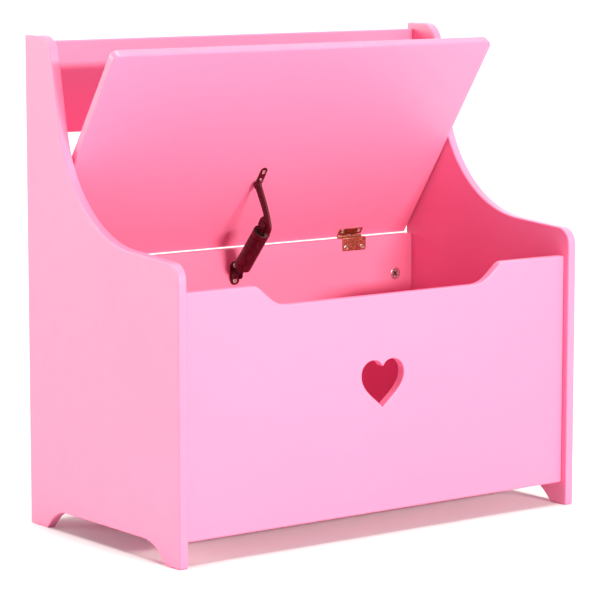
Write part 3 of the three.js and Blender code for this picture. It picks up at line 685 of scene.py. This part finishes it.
def addUprightBoard(node, name, facing, edge, pockets):
    # A plain rectangular board that stands across the box, its fittings on the face that looks along facing.
    low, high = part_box(node)
    thickness = high.y - low.y
    outer = (rectangle(low.x, high.x, low.z, high.z, edge + 0.4 * mm), rimProfile(thickness, edge))
    blocks = solidBlocks(outer, pockets=camPockets(pockets, -facing, thickness))
    blocks = placed(blocks, (0, high.y if facing < 0 else low.y, 0), -facing * axisX, axisZ)
    makePiece(name, blocks, "cabinet", node, "pink_paint")


def addBottomPanel():
    low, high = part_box("bottom_panel")
    outer = (rectangle(low.x, high.x, low.y, high.y, 1.2 * mm), rimProfile(high.z - low.z, 0.5 * mm, 3))
    blocks = placed(solidBlocks(outer), (0, 0, low.z), axisX, axisY)
    makePiece("bottom_board", blocks, "cabinet", "bottom_panel", "pink_paint")


lidLook = {
    "angle": math.radians(55.8),
    "halfWidth": 0.286,
    "length": 0.3098,
    "behind": 0.0034,
    "underside": 0.0022,
    "thickness": 0.012,
    "frontRadius": 0.009,
    "rearRadius": 0.0026,
    "rearRound": 0.0051,  # of the upper rear edge
    "edge": 0.0024,
}
hingeJoint = next(j for j in frame["joints"] if j["name"] == "lid_hinge")
hingeAxis = np.array(hingeJoint["pos_m"], float) * (0, 1, 1)
# Directions of the open lid: along it towards its hinge, and out of its upper face.
lidBack = np.array([0, math.cos(lidLook["angle"]), -math.sin(lidLook["angle"])])
lidUp = np.cross(axisX, lidBack)


def addLid():
    s = lidLook
    half = s["halfWidth"]
    outline = rectangle(-half, half, -s["length"], s["behind"], s["frontRadius"], s["rearRadius"])
    blocks = solidBlocks((outline, rimProfile(s["thickness"], s["edge"])))
    # Points past a quarter circle of rearRound in the upper rear corner are drawn back to it.
    centre = np.array([s["behind"], s["thickness"]]) - s["rearRound"]
    for points, _, _, _ in blocks:
        beyond = points[:, 1:] - centre
        reach = np.linalg.norm(beyond, axis=1)
        outside = (beyond > 0).all(1) & (reach > s["rearRound"])
        points[outside, 1:] = centre + beyond[outside] * (s["rearRound"] / reach[outside])[:, None]
    blocks = placed(blocks, hingeAxis + lidUp * s["underside"], axisX, lidBack)
    makePiece("lid_board", blocks, "lid", "lid", "pink_paint")


addSidePanel("left", -1)
addSidePanel("right", 1)
addFrontPanel()
addUprightBoard("back_panel", "back_board", -1, boardLook["thinEdge"], "back")
addUprightBoard("backrest_rail", "backrest_board", 1, boardLook["edge"], "rail")
addBottomPanel()
addLid()
print("boards ready")


def crossLoop(half, arm, twist):
    # A cross of four arms, turned by twist.
    end, inner = arm * 0.8, arm * 0.3
    corners = [(half, -arm, end), (half, arm, end), (arm, arm, inner)]
    corners += [(arm, half, end), (-arm, half, end), (-arm, arm, inner)]
    corners += [(-u, -v, radius) for u, v, radius in corners]
    c, s = math.cos(twist), math.sin(twist)
    return roundedLoop([(c * u - s * v, s * u + c * v, radius) for u, v, radius in corners], 0.2 * mm)


def arcRows(radius, height, bend, start, end, steps=6):
    # Rows of a profile that follow an arc of the given bend about (radius, height).
    angle = np.radians(np.linspace(start, end, steps + 1))
    return list(zip(radius + bend * np.cos(angle), height + bend * np.sin(angle)))


def turned(rows, sides=40, pockets=()):
    # (radius, height) rows spun about the height axis, from the upper end down the outside.
    return solidBlocks((circleLoop(0, 0, 0.01, sides), turnedProfile(0.01, rows)), pockets=pockets)


def punched(outline, thickness, edge=0.22 * mm, holes=()):
    # Sheet metal: an outline with eased edges and plain or countersunk holes.
    return solidBlocks((outline, rimProfile(thickness, edge, 3)), holes)


def acrossX(blocks, x):
    # Blocks drawn as (y, z), their height along +X from x.
    return placed(blocks, (x, 0, 0), axisY, axisZ)


def plainHole(u, v, radius, thickness, edge=0.15 * mm):
    return asHole(circleLoop(u, v, radius, 36)), rimProfile(thickness, edge, 2)


def sunkHole(u, v, thickness, wide=3.2 * mm, narrow=1.8 * mm):
    # A cone from the outer face down to the shank's hole.
    rows = [(0.12 * mm, thickness), (0, thickness - 0.1 * mm), (narrow - wide, 0.1 * mm), (narrow - wide, 0)]
    inset, height = np.array(rows).T
    return asHole(circleLoop(u, v, wide, 40)), (inset, height)


screwLook = {
    "head": 2.9 * mm,
    "shank": 1.45 * mm,
    "headDepth": 1.4 * mm,
    "length": 11 * mm,
    "cross": 1.75 * mm,
    "turns": 8,
}


def screwBlocks(twist):
    # A countersunk head with a tapered cross recess and a threaded shank, its face at height 0.
    s = screwLook
    rows = arcRows(s["head"] - 0.25 * mm, -0.25 * mm, 0.25 * mm, 90, 0, 4)
    rows += [(s["shank"], -s["headDepth"])]
    threadTop, threadEnd = -s["headDepth"] - 1 * mm, -s["length"] + 2 * mm
    for t in np.linspace(0, 1, s["turns"]):
        height = threadTop + t * (threadEnd - threadTop)
        rows += [(s["shank"] - 0.3 * mm, height), (s["shank"], height - 0.35 * mm)]
    rows += [(0.2 * mm, -s["length"])]
    recess = asHole(crossLoop(s["cross"], 0.32 * mm, twist))
    taper = (np.array([0.05, 0, -0.08, -0.2]) * mm, np.array([0, -0.05, -0.4, -1.0]) * mm)
    return turned(rows, 32, [(recess, taper)])


def addScrew(node, body, slotName, face, across, up):
    twist = (sum(map(ord, node)) % 7) * 0.21  # each screw stops at its own angle
    blocks = placed(screwBlocks(twist), face, across, up)
    makePiece(f"{node}_turned", blocks, body, node, slotName)


def addBodyScrew(node, slotName):
    low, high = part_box(node)
    addScrew(node, "cabinet", slotName, ((low.x + high.x) / 2, low.y, (low.z + high.z) / 2), axisX, axisZ)


def addLidScrew(node, slotName, along, below):
    face = lidPoint(nodeCentre(node).x, along, -below)
    addScrew(node, "lid", slotName, face, axisX, -lidBack)


def lidPoint(x, along, above):
    # A point of the lid, measured from the hinge's axis towards the free edge and above the axis.
    return hingeAxis + axisX * x - lidBack * along + lidUp * above


camLook = {"radius": 7.5 * mm, "depth": 10.2 * mm, "edge": 0.45 * mm, "cross": 4.6 * mm, "arm": 0.95 * mm}


def addCamLocks():
    c = camLook
    rows = arcRows(c["radius"] - c["edge"], -c["edge"], c["edge"], 90, 0, 5)
    rows += [(c["radius"], -c["depth"] + 0.3 * mm), (c["radius"] - 0.3 * mm, -c["depth"])]
    depths = np.array([0, -0.12, -0.5, -1.6]) * mm
    taper = (np.array([0.15, 0, -0.1, -0.3]) * mm, depths)
    for node in sorted(n for n in frame["nodes"] if n.startswith("cam_lock")):
        low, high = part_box(node)
        middle = nodeCentre(node)
        rearFacing = not node.startswith("cam_lock_back")
        twist = math.pi / 4 + (0.18 if node.endswith("left") else -0.12)
        recess = asHole(crossLoop(c["cross"], c["arm"], twist))
        across = -axisX if rearFacing else axisX
        face = (middle.x, high.y if rearFacing else low.y, middle.z)
        blocks = placed(turned(rows, 48, [(recess, taper)]), face, across, axisZ)
        makePiece(f"{node}_cast", blocks, "cabinet", node, "zinc")


addCamLocks()
print("cam locks ready")


hingeLook = {
    "thickness": 1.0 * mm,
    "knuckle": 1.7 * mm,
    "bore": 0.95 * mm,
    "pin": 0.68 * mm,
    "pinRound": 0.48 * mm,
    "knuckles": 5,
    "play": 0.15 * mm,
    "screwAt": 7.6 * mm,
    "lidLeafEnd": 12.0 * mm,
    "plateEnd": 2.4 * mm,
    "corner": 2.0 * mm,
    "farCorner": 1.2 * mm,
    "bend": 1.2 * mm,
    "below": 0.5 * mm,  # from the axis down to the top of the folded leaf
    "lidLeafTop": 1.9 * mm,
}


def underLid(blocks, above):
    # Blocks drawn as (x, distance from the hinge), their height out of the lid's lower face.
    return placed(blocks, lidPoint(0, 0, above), axisX, -lidBack)


def knuckleSpans(half, remainder):
    h = hingeLook
    pitch = 2 * half / h["knuckles"]
    starts = -half + pitch * np.arange(remainder, h["knuckles"], 2)
    return [(start + h["play"], start + pitch - h["play"]) for start in starts]


def knuckleBlocks(x, span):
    # One rolled eye about the hinge's axis.
    h = hingeLook
    length = span[1] - span[0]
    outline = circleLoop(hingeAxis[1], hingeAxis[2], h["knuckle"], 40)
    bore = plainHole(hingeAxis[1], hingeAxis[2], h["bore"], length, 0.1 * mm)
    return acrossX(punched(outline, length, 0.15 * mm, [bore]), x + span[0])


def addHinge(side):
    h = hingeLook
    low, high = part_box(f"hinge_{side}_body_leaf")
    x, half = (low.x + high.x) / 2, (high.x - low.x) / 2
    t = h["thickness"]
    screws = [nodeCentre(f"hinge_{side}_body_screw_{i}") for i in (1, 2)]
    topZ = hingeAxis[2] - h["below"]
    faceY = low.y
    bendZ = topZ - h["bend"] - 0.6 * mm
    wall = rectangle(low.x, high.x, low.z, bendZ, h["corner"], 0.3 * mm)
    wallHoles = [sunkHole(p.x, p.z, t) for p in screws]
    blocks = placed(punched(wall, t, holes=wallHoles), (0, faceY + t, 0), axisX, axisZ)
    skin = 0.01 * mm
    endY = hingeAxis[1] - h["plateEnd"]
    fold = roundedLoop(
        [
            (faceY - skin, bendZ - 0.3 * mm, 0.2 * mm),
            (faceY + t + skin, bendZ - 0.3 * mm, 0.2 * mm),
            (faceY + t + skin, topZ - t, 0.3 * mm),
            (endY, topZ - t, 0.2 * mm),
            (endY, topZ, 0.2 * mm),
            (faceY - skin, topZ, h["bend"]),
        ],
        0.2 * mm,
    )
    blocks += acrossX(punched(fold, 2 * half, 0.15 * mm), low.x)
    tongue = rectangle(endY - 0.3 * mm, hingeAxis[1] - 0.9 * mm, topZ - t + skin, topZ - skin, 0.1 * mm)
    for span in knuckleSpans(half, 0):
        blocks += knuckleBlocks(x, span)
        blocks += acrossX(punched(tongue, span[1] - span[0], 0.1 * mm), x + span[0])
    node = f"hinge_{side}_body_leaf"
    makePiece(f"{node}_pressed", blocks, "cabinet", node, "antique_brass")

    plate = rectangle(low.x, high.x, h["plateEnd"], h["lidLeafEnd"], 0.3 * mm, h["farCorner"])
    holes = [sunkHole(p.x, h["screwAt"], t) for p in screws]
    blocks = underLid(punched(plate, t, holes=holes), h["lidLeafTop"])
    for span in knuckleSpans(half, 1):
        blocks += knuckleBlocks(x, span)
        tongue = rectangle(x + span[0], x + span[1], 0.3 * mm, h["plateEnd"] + 0.3 * mm, 0.1 * mm)
        blocks += underLid(punched(tongue, t - 2 * skin, 0.1 * mm), h["lidLeafTop"] - skin)
    node = f"hinge_{side}_lid_leaf"
    makePiece(f"{node}_pressed", blocks, "lid", node, "antique_brass")

    bend = h["pinRound"]
    rows = arcRows(h["pin"] - bend, half - bend, bend, 90, 0, 4)
    rows += [(radius, -height) for radius, height in reversed(rows)]
    blocks = placed(turned(rows, 24), (x, hingeAxis[1], hingeAxis[2]), axisY, axisZ)
    node = f"hinge_{side}_pin"
    makePiece(f"{node}_turned", blocks, "cabinet", node, "antique_brass")
    for i in (1, 2):
        addBodyScrew(f"hinge_{side}_body_screw_{i}", "zinc")
        addLidScrew(f"hinge_{side}_lid_screw_{i}", "zinc", h["screwAt"], t - h["lidLeafTop"])


addHinge("left")
addHinge("right")
print("hinges ready")


stayLook = {
    "strapThickness": 1.5 * mm,
    "strapHalf": 4.0 * mm,
    "strapInner": 1.8 * mm,
    "spacer": (6 * mm, 14 * mm),
    "rivet": 2.0 * mm,
    "rivetHead": 3.4 * mm,
    "tubeRadius": 11.0 * mm,
    "tubeWall": 1.4 * mm,
    "tubeStart": 16.0 * mm,
    "tubeMouth": 9.6 * mm,  # from the tube's mouth to the knee
    "contact": 10.8 * mm,
    "growth": 0.043 * mm,  # of the cam's radius, for each degree
    "frontCam": 12.3 * mm,
    "armThickness": 3.0 * mm,
    "armHead": 5.4 * mm,
    "armShift": -1.1 * mm,  # of the head and its slot, from the arm's middle line
    "followerThickness": 3.0 * mm,
    "springRadius": 7.6 * mm,
    "springWire": 0.9 * mm,
    "springTurns": 7,
    "footThickness": 1.5 * mm,
    "earRadius": 5.0 * mm,
    "lidAlong": 103.5 * mm,
    "lidBelow": 5.3 * mm,
    "lidFootAlong": (98 * mm, 126 * mm),
    "lidFootHalf": 4.8 * mm,
    "lidScrewAlong": (119.5 * mm, 106.5 * mm),
}
jointAt = {j["name"]: np.array(j["pos_m"], float) for j in frame["joints"] if "pos_m" in j}
stayBase = jointAt["stay_base_pivot"]
stayKnee = jointAt["stay_knee_pivot"]
stayX = stayBase[0]
legLength = np.linalg.norm(stayKnee - stayBase)
legWay = (stayKnee - stayBase) / legLength
legDown = np.cross(axisX, legWay)
armEnd = lidPoint(stayX, stayLook["lidAlong"], -stayLook["lidBelow"])
armLength = np.linalg.norm(armEnd - stayKnee)
armWay = (armEnd - stayKnee) / armLength
armBack = np.cross(armWay, axisX)


def addStayPiece(node, suffix, blocks, body, slotName="stay_paint"):
    return makePiece(f"{node}_{suffix}", blocks, body, node, slotName)


def rivetRows(radius, head, left, right, leftDome, rightDome):
    # A shank between two domed heads, from its right end to its left along +X.
    rows = [(0.25 * head, right + rightDome), (0.7 * head, right + 0.8 * rightDome)]
    rows += [(0.93 * head, right + 0.42 * rightDome), (head, right + 0.08 * rightDome), (0.97 * head, right)]
    rows += [(radius, right), (radius, left), (0.97 * head, left), (head, left - 0.08 * leftDome)]
    rows += [(0.93 * head, left - 0.42 * leftDome), (0.7 * head, left - 0.8 * leftDome)]
    return rows + [(0.25 * head, left - leftDome)]


def aboutLeg(blocks, at):
    # Blocks spun about the leg, their height along it from the given point.
    return placed(blocks, at, axisX, np.cross(legWay, axisX))


def addStrap():
    s = stayLook
    t = s["strapThickness"]
    outline = stadium(legLength / 2, 0, legLength / 2, s["strapHalf"])
    bore = s["rivet"] + gap
    holes = [plainHole(0, 0, bore, t), plainHole(legLength, 0, bore, t)]
    blocks = []
    for side in (-1, 1):
        x = stayX + side * (s["strapInner"] + t / 2) - t / 2
        at = stayBase + axisX * (x - stayX)
        blocks += placed(punched(outline, t, holes=holes), at, legWay, legDown)
    low, high = s["spacer"]
    spacer = rectangle(low, high, -3.5 * mm, 3.5 * mm, 0.6 * mm)
    width = 2 * s["strapInner"] + 0.2 * mm
    blocks += placed(punched(spacer, width, 0.05 * mm), stayBase - axisX * width / 2, legWay, legDown)
    addStayPiece("stay_strap", "punched", blocks, "stay_leg")


def slotHole(halfU, halfV, thickness, shiftU=0.0, height=0.0):
    inset, rows = rimProfile(thickness, 0.15 * mm, 2)
    loop = rectangle(shiftU - halfU, shiftU + halfU, -halfV, halfV, 0.4 * mm)
    return asHole(loop), (inset, rows + height)


def addTube():
    # A drawn cup: inner floor, inner wall, rolled lip, outer wall and a rounded foot.
    s = stayLook
    radius, wall, start = s["tubeRadius"], s["tubeWall"], s["tubeStart"]
    end = legLength - s["tubeMouth"]
    bore = radius - wall
    rows = arcRows(bore - 1.0 * mm, start + wall + 1.0 * mm, 1.0 * mm, -90, 0, 5)
    rows += arcRows(radius - wall / 2, end - wall / 2, wall / 2, 180, 0, 8)
    rows += arcRows(radius - 1.6 * mm, start + 1.6 * mm, 1.6 * mm, 0, -90, 6)
    floorSlot = slotHole(3.6 * mm, s["strapHalf"] + gap, wall, 0.0, start)
    loop = circleLoop(0, 0, 0.01, 72)
    blocks = solidBlocks((loop, turnedProfile(0.01, rows)), [floorSlot])
    addStayPiece("stay_tube", "drawn", aboutLeg(blocks, stayBase), "stay_leg")


def addFollower():
    s = stayLook
    top = legLength - s["contact"] - gap
    low = top - s["followerThickness"]
    radius = s["tubeRadius"] - s["tubeWall"] - 0.4 * mm
    middle = s["strapInner"] + s["strapThickness"] / 2
    halfU, halfV = s["strapThickness"] / 2 + 0.2 * mm, s["strapHalf"] + gap
    slots = [slotHole(halfU, halfV, s["followerThickness"], side * middle) for side in (-1, 1)]
    blocks = punched(circleLoop(0, 0, radius, 64), s["followerThickness"], 0.4 * mm, slots)
    blocks = aboutLeg(blocks, stayBase + legWay * low)
    addStayPiece("stay_follower", "turned", blocks, "stay_follower", "steel")


def addSpring():
    # A round wire carried along a helix: centre(t) + wire * (cos p * outward + sin p * along the axis).
    s = stayLook
    wire = s["springWire"]
    low = s["tubeStart"] + s["tubeWall"] + wire + 0.3 * mm
    high = legLength - s["contact"] - s["followerThickness"] - wire - 0.6 * mm
    steps, around = s["springTurns"] * 40, 12
    t = np.linspace(0, 1, steps + 1)[:, None]
    p = np.linspace(0, 2 * math.pi, around, endpoint=False)[None, :]
    turn = 2 * math.pi * s["springTurns"] * t
    reach = s["springRadius"] + wire * np.cos(p)
    rise = low + (high - low) * t + wire * np.sin(p)
    points = np.stack([reach * np.cos(turn), reach * np.sin(turn), rise], -1)
    i, j = np.meshgrid(np.arange(steps), np.arange(around), indexing="ij")
    k = (j + 1) % around
    faces = np.stack([i * around + j, (i + 1) * around + j, (i + 1) * around + k, i * around + k], -1)
    faces = faces.reshape(-1, 4).tolist()
    faces += [list(range(around)), list(range((steps + 1) * around - 1, steps * around - 1, -1))]
    nothing = np.zeros(points.shape[0] * around)
    blocks = [(points.reshape(-1, 3), faces, nothing, nothing)]
    blocks = aboutLeg(blocks, stayBase)
    coil = addStayPiece("stay_spring", "coiled", blocks, "stay_leg", "steel")
    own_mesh(coil)


def armOutline():
    # The cam is a spiral near the follower and a circle elsewhere. A tapering bar leaves it for the head.
    s = stayLook
    toBase = stayBase - stayKnee
    contact = math.degrees(math.atan2(toBase @ armWay, toBase @ armBack))
    angle = np.arange(180, 180 + 281, 4.0)
    away = (angle - contact + 180) % 360 - 180
    spiral = s["contact"] + s["growth"] * away
    outside = np.clip((np.abs(away + 1) - 59) / 12, 0, 1)
    radius = spiral * (1 - outside) + s["frontCam"] * outside
    radians = np.radians(angle)
    cam = np.stack([radius * np.cos(radians), radius * np.sin(radians)], 1)
    head = np.radians(np.arange(-12, 196, 8.0))
    centre = np.array([s["armShift"], armLength])
    tip = centre + s["armHead"] * np.stack([np.cos(head), np.sin(head)], 1)
    inner = bezier(cam[-1], cam[-1] + (-1.2 * mm, 1.6 * mm), (-2.6 * mm, 19 * mm), tip[0], 10)[1:]
    outer = bezier(tip[-1], (-8.6 * mm, armLength - 7 * mm), (-13.4 * mm, 15 * mm), cam[0], 14)[1:]
    return drawnLoop(np.concatenate([cam, inner, tip, outer]))


def addArm():
    s = stayLook
    t = s["armThickness"]
    slot = (asHole(stadium(s["armShift"], armLength, 0.85 * mm, 3.0 * mm)), rimProfile(t, 0.15 * mm, 2))
    holes = [plainHole(0, 0, s["rivet"] + gap, t), slot]
    blocks = punched(armOutline(), t, 0.35 * mm, holes)
    addStayPiece("stay_arm", "punched", placed(blocks, stayKnee - axisX * t / 2, armBack, armWay), "stay_arm")


def addStayRivets():
    s = stayLook
    for node, at, span, body in (
        ("stay_knee_rivet", stayKnee, s["strapInner"] + s["strapThickness"] + gap, "stay_leg"),
        ("stay_base_rivet", stayBase, s["strapInner"] + 2 * s["strapThickness"] + 0.6 * mm, "cabinet"),
    ):
        rows = rivetRows(s["rivet"], s["rivetHead"], -span, span, 1 * mm, 1 * mm)
        addStayPiece(node, "turned", placed(turned(rows), at, axisY, axisZ), body)
    left = -s["armThickness"] / 2 - gap
    right = s["armThickness"] / 2 + s["footThickness"] + 0.6 * mm
    rows = rivetRows(1.5 * mm, 2.8 * mm, left, right, 1.2 * mm, 0.8 * mm)[:7]
    rows += [(4.9 * mm, left), (5.0 * mm, left - 0.1 * mm), (4.7 * mm, left - 0.6 * mm)]
    rows += [(3.4 * mm, left - 1.05 * mm), (1.0 * mm, left - 1.2 * mm)]
    addStayPiece("stay_lid_rivet", "turned", placed(turned(rows), armEnd, axisY, axisZ), "lid")


def addWallFoot():
    s = stayLook
    low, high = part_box("stay_wall_foot")
    t, ear = s["footThickness"], s["earRadius"]
    x = (low.x + high.x) / 2
    screws = [nodeCentre(f"stay_wall_screw_{i}") for i in (1, 2)]
    half = (high.x - low.x) / 2
    base = stadium(x, (low.z + high.z) / 2, (high.z - low.z) / 2 - half, half, alongV=True)
    holes = [sunkHole(p.x, p.z, t) for p in screws]
    blocks = placed(punched(base, t, 0.35 * mm, holes), (0, high.y, 0), axisX, axisZ)
    y, z = stayBase[1], stayBase[2]
    rear = high.y - 0.4 * mm
    outline = roundedLoop(
        [
            (y - ear, z - ear, ear * halfRound),
            (rear, z - ear, 0.3 * mm),
            (rear, z + ear, 0.3 * mm),
            (y - ear, z + ear, ear * halfRound),
        ]
    )
    inner = s["strapInner"] + s["strapThickness"] + gap
    for start in (-inner - t, inner):
        plate = punched(outline, t, 0.3 * mm, [plainHole(y, z, s["rivet"] + gap, t)])
        blocks += acrossX(plate, stayX + start)
    addStayPiece("stay_wall_foot", "pressed", blocks, "cabinet")
    for i in (1, 2):
        addBodyScrew(f"stay_wall_screw_{i}", "zinc")


def addLidFoot():
    s = stayLook
    t, ear, half = s["footThickness"], s["earRadius"], s["lidFootHalf"]
    near, far = s["lidFootAlong"]
    top = hingeLook["lidLeafTop"]
    x = nodeCentre("stay_lid_screw_1").x
    base = stadium(x, (near + far) / 2, (far - near) / 2 - half, half, alongV=True)
    holes = [sunkHole(x, along, t) for along in s["lidScrewAlong"]]
    blocks = underLid(punched(base, t, 0.35 * mm, holes), top)
    along, below = -s["lidAlong"], -s["lidBelow"]
    outline = rectangle(along - ear, along + ear, below - ear, top - 0.2 * mm, ear * halfRound, 0.8 * mm)
    earX = stayX + s["armThickness"] / 2 + gap
    plate = punched(outline, t, 0.3 * mm, [plainHole(along, below, 1.8 * mm, t)])
    blocks += placed(plate, hingeAxis + axisX * earX, lidBack, lidUp)
    web = rectangle(earX, x, -along - ear, -along + ear, 0.4 * mm)
    blocks += underLid(punched(web, t - 0.04 * mm, 0.3 * mm), top - 0.02 * mm)
    addStayPiece("stay_lid_foot", "pressed", blocks, "lid")
    for i, along in enumerate(s["lidScrewAlong"], 1):
        addLidScrew(f"stay_lid_screw_{i}", "zinc", along, t - top)


addStrap()
addTube()
addFollower()
addSpring()
addArm()
addStayRivets()
addWallFoot()
addLidFoot()
print("lid stay ready")


studioLook = {
    "diffuseSky": 0.16,
    "mirroredSky": 2.6,
    "seenSky": 1.0,
    "lamps": {  # azimuth (0 in front of the box, positive to its right), elevation, softness, strength
        "left fill": (-128.0, 8.0, 24.0, 2.3),
        "rear fill": (170.0, 20.0, 30.0, 0.9),
        "overhead": (0.0, 90.0, 26.0, 2.9),
    },
    "key": {"azimuth": 6.5, "elevation": 12.6, "distance": 5.0, "width": 1.5, "height": 0.3, "power": 252.0},
    "warmth": (1.0, 1.0, 0.83),
}


floorLook = {"half": 60.0, "pale": (0.90, 0.90, 0.98), "paler": (0.93, 0.93, 1.0), "roughness": 0.9}


def addFloor():
    mesh = bpy.data.meshes.new("floor")
    half = floorLook["half"]
    corners = [(-half, -half, 0), (half, -half, 0), (half, half, 0), (-half, half, 0)]
    mesh.from_pydata(corners, [], [(0, 1, 2, 3)])
    floor = bpy.data.objects.new("floor", mesh)
    bpy.context.scene.collection.objects.link(floor)
    material, tree, shader = newMaterial("studio floor")
    cloud = noiseNode(tree, objectPoints(tree), 0.8, 3.0)
    tree.links.new(mixColour(tree, cloud, floorLook["pale"], floorLook["paler"]), shader.inputs["Base Color"])
    shader.inputs["Roughness"].default_value = floorLook["roughness"]
    mesh.materials.append(material)


def hangLamp(name, data, azimuth, elevation, distance):
    # The lamp looks at the middle of the box from its azimuth and elevation.
    a, e = math.radians(azimuth), math.radians(elevation)
    way = Vector((math.sin(a) * math.cos(e), -math.cos(a) * math.cos(e), math.sin(e)))
    lamp = bpy.data.objects.new(name, data)
    lamp.location = (cadBox[0] + cadBox[1]) / 2 + way * distance
    lamp.rotation_euler = way.to_track_quat("Z", "Y").to_euler()
    bpy.context.scene.collection.objects.link(lamp)


def addLamps():
    for name, (azimuth, elevation, softness, strength) in studioLook["lamps"].items():
        data = bpy.data.lights.new(name, "SUN")
        data.angle = math.radians(softness)
        data.energy = strength
        data.color = studioLook["warmth"]
        hangLamp(name, data, azimuth, elevation, 3.0)
    key = studioLook["key"]
    data = bpy.data.lights.new("key", "AREA")
    data.shape = "RECTANGLE"
    data.size, data.size_y = key["width"], key["height"]
    data.energy = key["power"]
    data.color = studioLook["warmth"]
    hangLamp("key", data, key["azimuth"], key["elevation"], key["distance"])


def addStudio():
    scene = bpy.context.scene
    world = bpy.data.worlds.new("white studio")
    world.use_nodes = True
    tree = world.node_tree
    sky = tree.nodes["Background"]
    sky.inputs["Color"].default_value = (1, 1, 1, 1)
    ray = tree.nodes.new("ShaderNodeLightPath").outputs
    seenSky, mirroredSky = studioLook["seenSky"], studioLook["mirroredSky"]
    strength = rangeNode(tree, ray["Is Glossy Ray"], 0.0, 1.0, seenSky, mirroredSky)
    spread = tree.nodes.new("ShaderNodeMapRange")
    spread.inputs["To Max"].default_value = studioLook["diffuseSky"]
    tree.links.new(ray["Is Diffuse Ray"], spread.inputs["Value"])
    tree.links.new(strength, spread.inputs["To Min"])
    tree.links.new(spread.outputs["Result"], sky.inputs["Strength"])
    scene.world = world
    addLamps()
    scene.view_settings.view_transform = "Standard"


cameraLook = {"place": (-2.0815, -2.7477, 0.7462), "yaw": 37.024, "pitch": 7.86, "lens": 170.19}


def addCamera():
    data = bpy.data.cameras.new("camera")
    data.lens = cameraLook["lens"]
    data.sensor_width = 36.0
    data.clip_end = 100.0
    camera = bpy.data.objects.new("camera", data)
    camera.location = cameraLook["place"]
    pitch, yaw = math.radians(90 - cameraLook["pitch"]), math.radians(-cameraLook["yaw"])
    camera.rotation_euler = Euler((pitch, 0, yaw))
    bpy.context.scene.collection.objects.link(camera)
    bpy.context.scene.camera = camera


addFloor()
addStudio()
addCamera()
print("studio ready")
